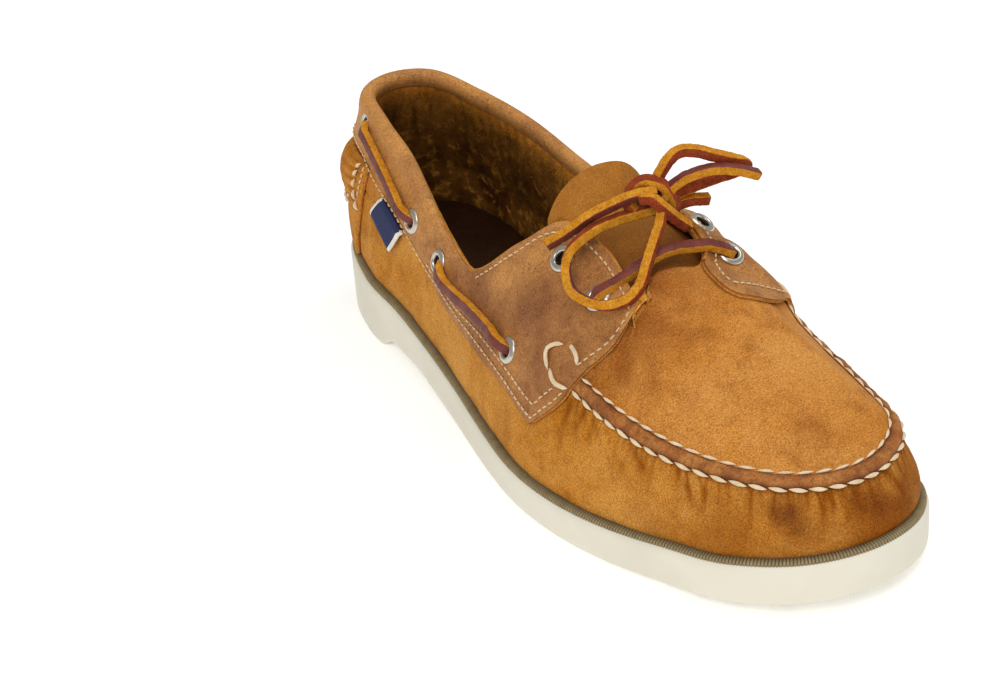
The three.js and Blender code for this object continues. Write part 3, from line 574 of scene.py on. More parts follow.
def stitch_row(path: SurfacePath, length: float, gap: float, width: float, height: float,
               form: StitchForm,
               slant: float = 0.0) -> Shell:
    """A row of stitches along a path, each a closed spindle that follows the surface.

    Args:
        path: the line they follow.
        length: length of a stitch in mm.
        gap: mm between stitches.
        width: mm across.
        height: mm thick.
        form: fine machine stitch or fat hand stitch.
        slant: share of the width by which each leans.

    Returns:
        All the stitches as one shell.
    """
    rings, sides = 9, 8
    k = np.linspace(-1, 1, rings)
    radius = np.maximum((1 - np.abs(k) ** (2 if form is StitchForm.HAND else 5)) ** form.value, 0.12)
    angle = np.arange(sides) / sides * 2 * np.pi
    count = int((path.along[-1] + gap) / (length + gap))
    centres = (np.arange(count) + 0.5) * (length + gap)
    s = centres[:, None] + k[None, :] * length / 2
    point, normal, along = path.at(s)
    side = unit(np.cross(along, normal))
    point = point + side * (k * slant * width)[None, :, None]
    dip = (1 - np.abs(k) ** 2.2)[None, :, None] * height * 0.42
    r = radius[None, :, None, None]
    pts = ((point + normal * dip)[:, :, None, :]
           + side[:, :, None, :] * (np.cos(angle) * width / 2)[None, None, :, None] * r
           + normal[:, :, None, :] * (np.sin(angle) * height / 2)[None, None, :, None] * r)
    quads = grid_quads(rings, sides, wrap_cols=True)
    n = rings * sides
    faces = (quads[None] + (np.arange(count) * n)[:, None, None]).reshape(-1, 4)
    caps = np.array([list(range(sides))[::-1], [(rings - 1) * sides + i for i in range(sides)]])
    caps = (caps[None] + (np.arange(count) * n)[:, None, None]).reshape(-1, sides)
    return Shell(pts.reshape(-1, 3), [faces, caps], [0, 0], {})


def sweep(points: np.ndarray, up: np.ndarray, profile: np.ndarray,
          finish_of_side: np.ndarray) -> Shell:
    """A section swept along points; profile holds (side, up) offsets, one finish number per side.

    Args:
        points: middle line of the lace.
        up: the way its first face looks at each point.
        profile: the section.
        finish_of_side: a finish number for each side.

    Returns:
        The closed shell.
    """
    along = unit(np.gradient(points, axis=0))
    up = unit(up - along * np.sum(up * along, 1, keepdims=True))
    side = np.cross(along, up)
    m = len(profile)
    across, over = profile[None, :, :1], profile[None, :, 1:2]
    pts = points[:, None] + side[:, None] * across + up[:, None] * over
    quads = grid_quads(len(points), m, wrap_cols=True)
    caps = np.array([list(range(m))[::-1], [(len(points) - 1) * m + i for i in range(m)]])
    return Shell(pts.reshape(-1, 3), [quads, caps],
                 [np.tile(finish_of_side, len(points) - 1), np.array([1, 1])], {})


def line_through(points: list, step: float) -> np.ndarray:
    """Smooth line through points, resampled every `step` mm.

    Args:
        points: points, with any values that ride along.
        step: mm between samples.

    Returns:
        The samples.
    """
    line = spline(np.array(points, float), 40, 0)
    s = run_length(line[:, :3])
    at = np.linspace(0, s[-1], max(int(s[-1] / step), 4))
    return np.stack([np.interp(at, s, line[:, k]) for k in range(line.shape[1])], -1)


# ------------------------------------------------------------------ finishes
def linear(code: str) -> tuple:
    """A hex sRGB colour as linear RGBA.

    Args:
        code: colour as #rrggbb.

    Returns:
        Four values.
    """
    values = [int(code[i:i + 2], 16) / 255 for i in (1, 3, 5)]
    return tuple(c / 12.92 if c <= 0.04045 else ((c + 0.055) / 1.055) ** 2.4
                 for c in values) + (1.0,)


class MaterialSketch:
    """A node material with one surface shader."""

    def __init__(self, name: str, shader: dict) -> None:
        """Starts an empty material with its shader and output.

        Args:
            name: the material's name.
            shader: values for the shader's own sockets.
        """
        self.material = bpy.data.materials.new(name)
        self.material.use_nodes = True
        self.tree = self.material.node_tree
        self.tree.nodes.clear()
        self.shader = self.add("ShaderNodeBsdfPrincipled", {}, shader)
        self.add("ShaderNodeOutputMaterial", {}, {"Surface": self.shader.outputs["BSDF"]})
        self.place = self.add("ShaderNodeTexCoord").outputs["Object"]

    def add(self, kind: str, settings: dict = None, inputs: dict = None) -> bpy.types.Node:
        """Adds a node; `settings` are its own values, `inputs` its sockets or links.

        Args:
            kind: the node's type.
            settings: its own values.
            inputs: values or links for its sockets.

        Returns:
            The node.
        """
        node = self.tree.nodes.new(kind)
        for key, value in (settings or {}).items():
            setattr(node, key, value)
        for key, value in (inputs or {}).items():
            if isinstance(value, bpy.types.NodeSocket):
                self.tree.links.new(value, node.inputs[key])
            else:
                node.inputs[key].default_value = value
        return node

    def noise(self, size_mm: float, detail: float, low: float, high: float,
              stretch: tuple = (1, 1, 1)) -> bpy.types.NodeSocket:
        """Noise with features of size_mm, spread so that low..high becomes 0..1.

        Args:
            size_mm: size of its features.
            detail: how many finer layers.
            low: value that becomes 0.
            high: value that becomes 1.
            stretch: scale along each axis.

        Returns:
            The field's socket.
        """
        mapped = self.add("ShaderNodeMapping", {},
                          {"Vector": self.place, "Scale": stretch}).outputs[0]
        field = self.add("ShaderNodeTexNoise", {},
                         {"Vector": mapped, "Scale": MM_PER_M / size_mm, "Detail": detail,
                          "Roughness": 0.6})
        return self.add("ShaderNodeMapRange", {}, {0: field.outputs[0], 1: low, 2: high}).outputs[0]

    def mix(self, share: object, a: object, b: object, blend: str = "MIX") -> bpy.types.NodeSocket:
        """Colour b laid over a by share."""
        return self.add("ShaderNodeMix", {"data_type": "RGBA", "blend_type": blend},
                        {0: share, 6: a, 7: b}).outputs[2]

    def times(self, a: object, b: object) -> bpy.types.NodeSocket:
        """The product of two values."""
        return self.add("ShaderNodeMath", {"operation": "MULTIPLY", "use_clamp": True},
                        {0: a, 1: b}).outputs[0]

    def tone(self, name: str) -> bpy.types.NodeSocket:
        """A tone kept on the mesh's points."""
        return self.add("ShaderNodeAttribute", {"attribute_name": name}).outputs["Fac"]

    def colour(self, socket: object) -> None:
        """The surface's colour."""
        self.tree.links.new(socket, self.shader.inputs["Base Color"])

    def bump(self, height: object, depth_mm: float, below: object = None) -> bpy.types.NodeSocket:
        """Fine relief of depth_mm, laid over the relief below it.

        Args:
            height: the relief's field.
            depth_mm: its depth.
            below: relief that it lies on.

        Returns:
            The relief's socket.
        """
        inputs = {"Height": height, "Strength": 1.0, "Distance": depth_mm / MM_PER_M}
        if below is not None:
            inputs["Normal"] = below
        out = self.add("ShaderNodeBump", {}, inputs).outputs[0]
        self.tree.links.new(out, self.shader.inputs["Normal"])
        return out


@dataclass(frozen=True)
class LeatherFinish:
    """Leather with a body colour, lighter and darker clouds, and a fine napped or waxy grain.

    The nap scatters light, so it looks soft and a little brighter at grazing angles. The mesh's deep
    and pale tones darken and lighten it: painted shade in creases, gathers and the seam's grooves
    and under the flaps and the knot, painted highlight on ridges and on the lining below the collar,
    and listed darker and paler patches."""

    name: str
    body: str
    pale: str
    deep: str
    stain: str
    roughness: float = 0.78
    shine: float = 0.16
    sheen: float = 0.03
    cloud_mm: float = 30.0
    cloud: float = 0.8
    speck_mm: float = 0.5
    speck: float = 0.55
    mottle: float = 0.3
    grain_mm: float = 0.7
    grain_depth: float = 0.05
    scuffs: float = 0.0

    def build(self) -> bpy.types.Material:
        """Makes the material."""
        s = MaterialSketch(self.name, {"Roughness": self.roughness, "Specular IOR Level": self.shine,
                                       "Sheen Weight": self.sheen, "Sheen Roughness": 0.45,
                                       "Sheen Tint": linear(self.pale)})
        col = s.mix(s.times(s.noise(self.cloud_mm, 3, 0.36, 0.66), self.cloud), linear(self.body),
                    linear(self.pale))
        col = s.mix(s.times(s.noise(self.cloud_mm * 0.31, 4, 0.5, 0.75), 0.7 * self.cloud), col,
                    linear(self.deep))
        col = s.mix(s.times(s.noise(3.6, 5, 0.5, 0.72), self.mottle), col, linear(self.deep))
        col = s.mix(s.times(s.noise(4.4, 5, 0.52, 0.74), self.mottle), col, linear(self.pale))
        # Tones kept on the mesh: pale is partly painted highlight, deep partly painted shade, stain
        # real stains.
        col = s.mix(s.tone("pale"), col, linear(self.pale))
        col = s.mix(s.tone("deep"), col, linear(self.deep))
        col = s.mix(s.tone("stain"), col, linear(self.stain))
        if self.scuffs:
            streak = s.noise(1.1, 5, 0.60, 0.72, (1.0, 0.16, 0.5))
            col = s.mix(s.times(s.times(streak, s.noise(14, 2, 0.48, 0.62)), self.scuffs), col,
                        linear(self.pale))
            pores = s.noise(2.2, 6, 0.56, 0.7)
            col = s.mix(s.times(pores, 0.45), col, linear(self.stain))
        speck = s.noise(self.speck_mm, 3, 0.3, 0.7)
        col = s.mix(self.speck, col, s.mix(speck, linear("#747474"), linear("#f0f0f0")), "OVERLAY")
        s.colour(col)
        fine = s.bump(s.noise(self.grain_mm, 6, 0.2, 0.8), self.grain_depth)
        s.bump(s.noise(5.5, 3, 0.2, 0.8), self.grain_depth * 2.2, fine)
        return s.material


@dataclass(frozen=True)
class PlainFinish:
    """An even matt or shiny surface with faint cloudiness: rubber, thread, cut leather, cloth."""

    name: str
    body: str
    shade: str
    roughness: float
    metallic: float = 0.0
    cloud_mm: float = 3.0
    grain_mm: float = 0.4
    grain_depth: float = 0.02
    sheen: float = 0.0
    mix_share: float = 0.6
    glow: float = 0.0

    def build(self) -> bpy.types.Material:
        """Makes the material."""
        s = MaterialSketch(self.name, {"Roughness": self.roughness, "Metallic": self.metallic,
                                       "Sheen Weight": self.sheen,
                                       "Emission Color": linear(self.body),
                                       "Emission Strength": self.glow})
        col = s.mix(s.times(s.noise(self.cloud_mm, 4, 0.35, 0.7), self.mix_share),
                    linear(self.body), linear(self.shade))
        # deep tone: painted shade where a mesh sets it, as in the ribbed strip's grooves.
        col = s.mix(s.tone("deep"), col, linear(self.shade))
        s.colour(col)
        s.bump(s.noise(self.grain_mm, 4, 0.2, 0.8), self.grain_depth)
        return s.material


@dataclass(frozen=True)
class TreadFinish:
    """Off-white moulded rubber; knife-cut wavy slits show as fine dark lines on the tread."""

    name: str
    body: str
    shade: str
    slit_pitch_mm: float = 5.0

    def build(self) -> bpy.types.Material:
        """Makes the material."""
        s = MaterialSketch(self.name, {"Roughness": 0.55, "Specular IOR Level": 0.4})
        wave = s.add("ShaderNodeTexWave", {"wave_type": "BANDS", "bands_direction": "Y",
                                           "wave_profile": "SIN"},
                     {"Vector": s.place, "Scale": MM_PER_M / self.slit_pitch_mm / 20 * 3.14159,
                      "Distortion": 1.2,
                      "Detail": 0.0, "Detail Scale": 1.0}).outputs[1]
        # The slits have no depth in the mesh; their dark lines are painted shade in the cuts.
        slit = s.add("ShaderNodeMapRange", {}, {0: wave, 1: 0.93, 2: 0.99}).outputs[0]
        slit = s.times(slit, s.tone("tread"))
        col = s.mix(s.times(s.noise(40, 3, 0.4, 0.7), 0.35), linear(self.body), linear(self.shade))
        col = s.mix(s.tone("deep"), col, linear(self.shade))
        s.colour(s.mix(slit, col, linear("#6d6655")))
        s.bump(s.noise(0.5, 4, 0.2, 0.8), 0.012)
        return s.material


class Finishes:
    """Every material of the shoe, built once."""

    def __init__(self) -> None:
        """Builds them all."""
        # Oiled nubuck, buffed by hand: golden tan, cloudy, with a short matt nap.
        self.vamp = LeatherFinish("oiled_nubuck_vamp", "#b87726", "#cf9548", "#8a4b0a", "#5f2c10",
                                  speck=0.75, shine=0.07).build()
        self.plug = LeatherFinish("oiled_nubuck_apron", "#b8762e", "#cc8e48", "#824311", "#643010",
                                  speck=0.7, shine=0.08).build()
        # The tongue is the apron's leather, coloured darker as painted shade under the flaps, laces
        # and knot.
        self.tongue = LeatherFinish("oiled_nubuck_tongue_painted_shade", "#9c611c", "#af752c", "#764616",
                                    "#4a260c").build()
        self.band = LeatherFinish("folded_seam_leather", "#9c5c28", "#c28442", "#633216", "#45200c",
                                  cloud_mm=7, roughness=0.6, shine=0.2, grain_depth=0.12,
                                  scuffs=0.6, speck=0.5, mottle=0.6).build()
        # Waxed pull-up leather: brown and slightly shiny, paler where it was bent or scratched.
        self.quarter = LeatherFinish("pull_up_quarter", "#9c6638", "#c88d4a", "#6d3c20", "#431f10",
                                     roughness=0.6, shine=0.22, cloud_mm=26, scuffs=0.6, speck=0.65,
                                     mottle=0.35).build()
        self.raw_edge = LeatherFinish("raw_cut_leather", "#b4742e", "#d0934a", "#84491a", "#5f3010",
                                      roughness=0.95, cloud_mm=4, grain_mm=0.35,
                                      grain_depth=0.14).build()
        # The lining's pale colour is painted light: the golden glow where light catches the nap
        # below the collar.
        self.lining = LeatherFinish("napped_lining", "#3a1b08", "#ffb046", "#180a03", "#0e0502",
                                    roughness=0.95, shine=0.05, cloud_mm=12, cloud=0.1, speck=0.5,
                                    grain_mm=0.4, grain_depth=0.16).build()
        self.footbed = LeatherFinish("footbed_leather", "#2c1608", "#3d220c", "#1c0c05", "#120602",
                                     roughness=0.7).build()
        self.lace_grain = LeatherFinish("rawhide_grain", "#642a20", "#7f3c30", "#471a17", "#2e0f0d",
                                        roughness=0.5, shine=0.35, cloud_mm=8,
                                        grain_depth=0.06).build()
        self.lace_cut = LeatherFinish("rawhide_cut_side", "#bd7a18", "#d99830", "#9a5a0f", "#6b3a0a",
                                      roughness=0.92, cloud_mm=3, speck=0.55, grain_mm=0.3,
                                      grain_depth=0.12).build()
        self.lace_flesh = LeatherFinish("rawhide_flesh", "#84361c", "#a04a26", "#5c2213", "#3b150c",
                                        roughness=0.95, cloud_mm=4, speck=0.5,
                                        grain_depth=0.12).build()
        self.rubber = TreadFinish("sole_rubber", "#e4dfcf", "#cdc6b2").build()
        self.ribbed = PlainFinish("ribbed_taupe_rubber", "#9a8860", "#2c2114", 0.75,
                                  mix_share=0.3).build()
        self.thread = PlainFinish("waxed_cream_thread", "#e9d6b4", "#c9a97c", 0.7, grain_mm=0.25,
                                  grain_depth=0.06).build()
        self.fine_thread = PlainFinish("fine_cream_thread", "#e0c79c", "#b8935f", 0.75,
                                       grain_mm=0.2, grain_depth=0.04).build()
        self.nickel = PlainFinish("brushed_nickel", "#c9c4b8", "#a39c8d", 0.32, metallic=1.0,
                                  grain_depth=0.006, mix_share=0.3).build()
        # A near-black disc inside each eyelet stands in for the shade in the hole.
        self.dark = PlainFinish("eyelet_hole_painted_shade", "#150a05", "#0b0503", 0.95).build()
        self.tape = PlainFinish("woven_navy_tape", "#202b58", "#161c3d", 0.85, cloud_mm=1.2,
                                grain_mm=0.5, grain_depth=0.08).build()
        self.tape_end = PlainFinish("woven_white_tape", "#eeeae0", "#cfcabc", 0.85, grain_mm=0.5,
                                    grain_depth=0.06).build()
        # Back-lit paper sweep: it glows a little, so that only the contact shadow shows.
        self.floor = PlainFinish("white_sweep", "#f6f6f5", "#f4f4f2", 0.9, cloud_mm=900,
                                 grain_depth=0.0001, glow=0.32).build()


# ------------------------------------------------------------------ relief and tones
@dataclass(frozen=True)
class Crease:
    """A soft trough (depth > 0) or ridge (depth < 0) between two places on the upper."""

    start: tuple
    end: tuple
    width: float
    depth: float


WALL_CREASES = (
    Crease((9.0, 0.36), (9.5, 0.22), 1.4, 0.45),
    Crease((9.25, 0.37), (9.9, 0.25), 1.2, 0.4),
    Crease((9.5, 0.37), (10.3, 0.27), 1.3, 0.35),
    Crease((9.9, 0.37), (10.9, 0.26), 1.2, 0.35),
    Crease((10.5, 0.36), (11.3, 0.24), 1.5, 0.3),
    Crease((11.2, 0.37), (11.9, 0.25), 1.2, 0.3),
    Crease((12.2, 0.37), (12.6, 0.22), 1.2, 0.3),
    Crease((13.0, 0.36), (13.2, 0.2), 1.4, 0.3),
    Crease((14.4, 0.37), (14.3, 0.16), 1.5, 0.35),
    Crease((15.7, 0.37), (15.9, 0.14), 1.6, 0.4),
    Crease((16.9, 0.37), (17.3, 0.16), 1.4, 0.35),
    Crease((18.4, 0.36), (18.9, 0.22), 1.5, 0.3),
)
PLUG_CREASES = (
    Crease((10.2, 0.6), (10.6, 0.8), 7.0, 0.7),
    Crease((19.5, 0.6), (20.0, 0.8), 7.0, 0.7),
    Crease((14.0, 0.75), (17.0, 0.75), 12.0, 0.5),
    Crease((11.0, 0.5), (13.0, 0.56), 5.0, -0.35),
)


@dataclass(frozen=True)
class Patch:
    """A soft field of one tone round a place on the upper."""

    place: tuple
    reach: float
    strength: float


def creased(form: LastForm, points: np.ndarray, creases: tuple) -> np.ndarray:
    """Height change of the creases at the points.

    Args:
        form: the last's form.
        points: points in mm.
        creases: the creases.

    Returns:
        Mm up or down at each point.
    """
    total = np.zeros(points.shape[:-1])
    for c in creases:
        a, b = (form.surface([p[0] / STATIONS], [p[1]])[0] for p in (c.start, c.end))
        t = np.clip(((points - a) @ (b - a)) / max((b - a) @ (b - a), 1e-6), 0, 1)
        far = np.linalg.norm(points - a - t[..., None] * (b - a), axis=-1)
        total -= c.depth * np.exp(-((far / c.width) ** 2)) * (1 - 0.65 * t)
    return total


def patched(form: LastForm, points: np.ndarray, patches: tuple) -> np.ndarray:
    """Tone of the patches at the points, 0 to 1.

    Args:
        form: the last's form.
        points: points in mm.
        patches: the patches of one tone.

    Returns:
        One value for each point.
    """
    total = np.zeros(points.shape[:-1])
    for p in patches:
        c = form.surface([p.place[0] / STATIONS], [p.place[1]])[0]
        far = np.linalg.norm(points - c, axis=-1) * (1 + 0.35 * soft_noise(points, 9, 5))
        total = np.maximum(total, p.strength * np.exp(-((far / p.reach) ** 2)))
    return np.clip(total, 0, 1)


WALL_STAINS = (Patch((13.85, 0.28), 5.0, 0.75), Patch((13.95, 0.21), 4.5, 0.5),
               Patch((15.3, 0.21), 6.5, 0.55),
               Patch((15.0, 0.28), 5.0, 0.5), Patch((16.0, 0.14), 8.0, 0.45))
WALL_DEEP = (Patch((15.2, 0.03), 22, 1.0), Patch((13.0, 0.05), 22, 0.75),
             Patch((16.6, 0.2), 18, 0.8), Patch((18.5, 0.2), 20, 0.7),
             Patch((12.0, 0.04), 16, 0.5), Patch((14.2, 0.12), 18, 0.6), Patch((9.1, 0.33), 7, 0.35))
WALL_PALE = (Patch((4.5, 0.2), 26, 0.55), Patch((6.5, 0.25), 22, 0.4), Patch((11.0, 0.15), 14, 0.3))
# Painted shade on the apron: mostly in its creases, beside the flaps' front edges and under the bow.
PLUG_PAINTED_SHADE = (Patch((10.17, 0.63), 8, 0.75), Patch((10.9, 0.74), 8, 0.6), Patch((9.6, 0.55), 9, 0.5),
             Patch((14.8, 0.5), 9, 0.3),
             Patch((11.0, 0.85), 16, 0.85), Patch((12.8, 0.97), 14, 0.75),
             Patch((14.5, 0.97), 13, 0.55), Patch((20.5, 0.7), 12, 0.45))
PLUG_PALE = (Patch((16.0, 0.62), 17, 0.55), Patch((18.0, 0.6), 15, 0.5),
             Patch((13.0, 0.6), 14, 0.35))
QUARTER_DEEP = (Patch((7.3, 0.65), 11, 0.55), Patch((5.5, 0.72), 9, 0.6),
                Patch((8.7, 0.72), 9, 0.45), Patch((5.5, 0.44), 8, 0.4),
                Patch((7.75, 0.95), 7, 0.5), Patch((8.0, 0.45), 7, 0.35), Patch((6.4, 0.5), 12, 0.3))
QUARTER_PALE = (Patch((1.5, 0.85), 22, 0.75), Patch((-1.5, 0.85), 24, 0.75),
                Patch((3.0, 0.75), 14, 0.6), Patch((6.6, 0.85), 9, 0.4),
                Patch((-4.0, 0.85), 22, 0.6), Patch((8.8, 0.3), 6, 0.4), Patch((2.6, 0.62), 8, 0.5))


# ------------------------------------------------------------------ the sole unit
# The sole's side from its top land to the tread: mm inwards, the level that the height is
# taken from, and mm from that level or a share between both.
SOLE_SECTION = (
    (8.0, "top", -0.6), (3.1, "top", -0.25), (2.6, "top", 0.0), (1.9, "top", 0.0),
    (1.2, "top", -0.3), (0.5, "top", -0.95), (0.08, "top", -1.9), (0.0, "top", -3.2),
    (0.0, "mid", 0.66), (0.0, "mid", 0.33), (0.0, "low", 2.2), (0.12, "low", 1.3),
    (0.5, "low", 0.55), (1.2, "low", 0.1), (2.4, "low", 0.0),
)
GROOVES = (-136, -127, -118, -109, 16, 26, 36, 62, 72, 82, 92, 102, 112, 122)
# The ribbed strip across its width: share of the way in, mm over the sole's top.
STRIP_SECTION = ((0.0, -0.5), (0.0, 0.3), (0.08, 0.6), (0.5, 0.95), (1.0, 1.25), (1.25, 1.25),
                 (1.25, -0.6))
FOOTBED_SECTION = ((1.0, 0.4), (0.0, 0.4), (0.0, 2.6), (0.04, 3.3), (0.25, 3.3), (0.5, 3.3),
                   (0.75, 3.3), (1.0, 3.3))


@dataclass
class SoleUnit:
    """Moulded outsole with lugs, the ribbed strip along its top, and the footbed."""

    form: LastForm
    finishes: Finishes
    columns: int = 900
    rib_pitch: float = 1.15
    rib_height: float = 0.42
    margin_white: float = 1.15

    def outsole(self) -> None:
        """Outsole: top land, rounded upper edge, side, rounded lower edge, tread."""
        f, n = self.form, self.columns
        u = np.arange(n) / n
        at = f.outline(u)
        rows = []
        top, low = f.sole_top(at[:, 1]), f.sole_bottom(at[:, 1])
        for inset, kind, value in SOLE_SECTION:
            p = f.outline(u, inset)
            z = {"top": f.sole_top(p[:, 1]) + value, "low": low + value,
                 "mid": low + 2.2 + (top - 3.2 - low - 2.2) * value}[kind]
            rows.append(np.c_[p, z])
        rim = f.outline(u, 2.4)
        spine = np.c_[np.where(at[:, 1] > 60, -7.0, 0.0) * smooth(40, 120, at[:, 1]),
                      np.clip(at[:, 1], SPINE_REAR, SPINE_FRONT)]
        for t in np.linspace(0, 1, 46)[1:]:
            p = rim + (spine - rim) * t
            z = f.sole_bottom(p[:, 1]) + self.lugs(p, at, t)
            rows.append(np.c_[p, z])
        rows = np.array(rows)
        rows[-1, :, 2] = f.sole_bottom(rows[-1, :, 1])
        lid = np.c_[spine, f.sole_top(spine[:, 1]) - 0.6]
        points = np.concatenate([lid[None], rows]).reshape(-1, 3)
        grid = grid_quads(len(rows) + 1, n, wrap_cols=True)[:, ::-1]
        tread = np.repeat(np.arange(len(rows) + 1) > len(SOLE_SECTION), n).astype(float)
        Shell(points, [grid], [0], {"tread": tread}).build(
            "outsole_rubber", [self.finishes.rubber], f, "outsole", slot="sole_rubber")

    @staticmethod
    def lugs(p: np.ndarray, at: np.ndarray, t: float) -> np.ndarray:
        """Depth of the wavy grooves between the lugs at tread points p.

        Args:
            p: tread points.
            at: not used.
            t: how far they lie from the edge to the spine, 0 to 1.

        Returns:
            Mm up into the sole.
        """
        rise = np.zeros(len(p))
        for y0 in GROOVES:
            line = y0 + 1.2 * np.sin(p[:, 0] / 14 * 2 * np.pi)
            rise = np.maximum(rise, 1.8 * np.exp(-((p[:, 1] - line) / 0.85) ** 4))
        return rise * smooth(0.1, 0.2, t)

    def ribbed_strip(self) -> None:
        """Thin strip with ribs across it and a serrated outer edge."""
        f = self.form
        length = run_length(f.outline(np.linspace(0, 1, 2000)))[-1]
        ribs = int(length / self.rib_pitch)
        n = ribs * 4
        dense = np.linspace(0, 1, 4001)
        run = run_length(f.outline(dense))
        u = np.interp(np.arange(n) / n * run[-1], run, dense)
        wave = (np.array([1.0, 0.75, -0.15, 0.75]) * self.rib_height)[np.arange(n) % 4]
        margin = f.curve(("margin",), u)[:, 0]
        rows = []
        for share, lift in STRIP_SECTION:
            tooth = 0.28 * (wave / self.rib_height) * (share < 0.3)
            inset = self.margin_white - tooth + (margin - self.margin_white + 0.4) * share
            p = f.outline(u, inset)
            rows.append(np.c_[p, f.sole_top(p[:, 1]) + lift + (wave if lift > 0 else 0)])
        # deep: painted shade in the grooves between ribs and, on the inner rows, under the leather's
        # foot.
        shade = np.tile(np.clip(0.75 - wave / self.rib_height, 0, 1), (len(rows), 1))
        shade[3] = np.maximum(shade[3], 0.35)
        shade[4:] = 1.0
        hoop(np.array(rows), {"deep": shade}).build(
            "ribbed_strip", [self.finishes.ribbed], f, "welt_strip", slot="ribbed_rubber")

    def footbed(self) -> None:
        """Smooth leather footbed lying in the shoe."""
        f, n = self.form, 300
        u = np.arange(n) / n
        edge = f.outline(u, f.curve(("margin",), u)[:, 0] + 2.4)
        spine = np.c_[0 * u, np.clip(edge[:, 1], SPINE_REAR, SPINE_FRONT)]
        rows = []
        for t, lift in FOOTBED_SECTION:
            p = edge + (spine - edge) * t
            rows.append(np.c_[p, f.sole_top(p[:, 1]) + lift])
        hoop(np.array(rows), {}, wrap_rows=False).build(
            "footbed", [self.finishes.footbed], f, "insole", slot="lining_leather")


# ------------------------------------------------------------------ the upper
def eased(table: tuple, x: np.ndarray) -> np.ndarray:
    """Smooth value at x through a table of (x, value) rows.

    Args:
        table: rows of place and value.
        x: where to read it.

    Returns:
        The values.
    """
    xs, ys = np.array(sorted(table), float).T
    slope = np.gradient(ys, xs)
    return hermite(xs, ys, slope, np.clip(np.asarray(x, float), xs[0], xs[-1]))


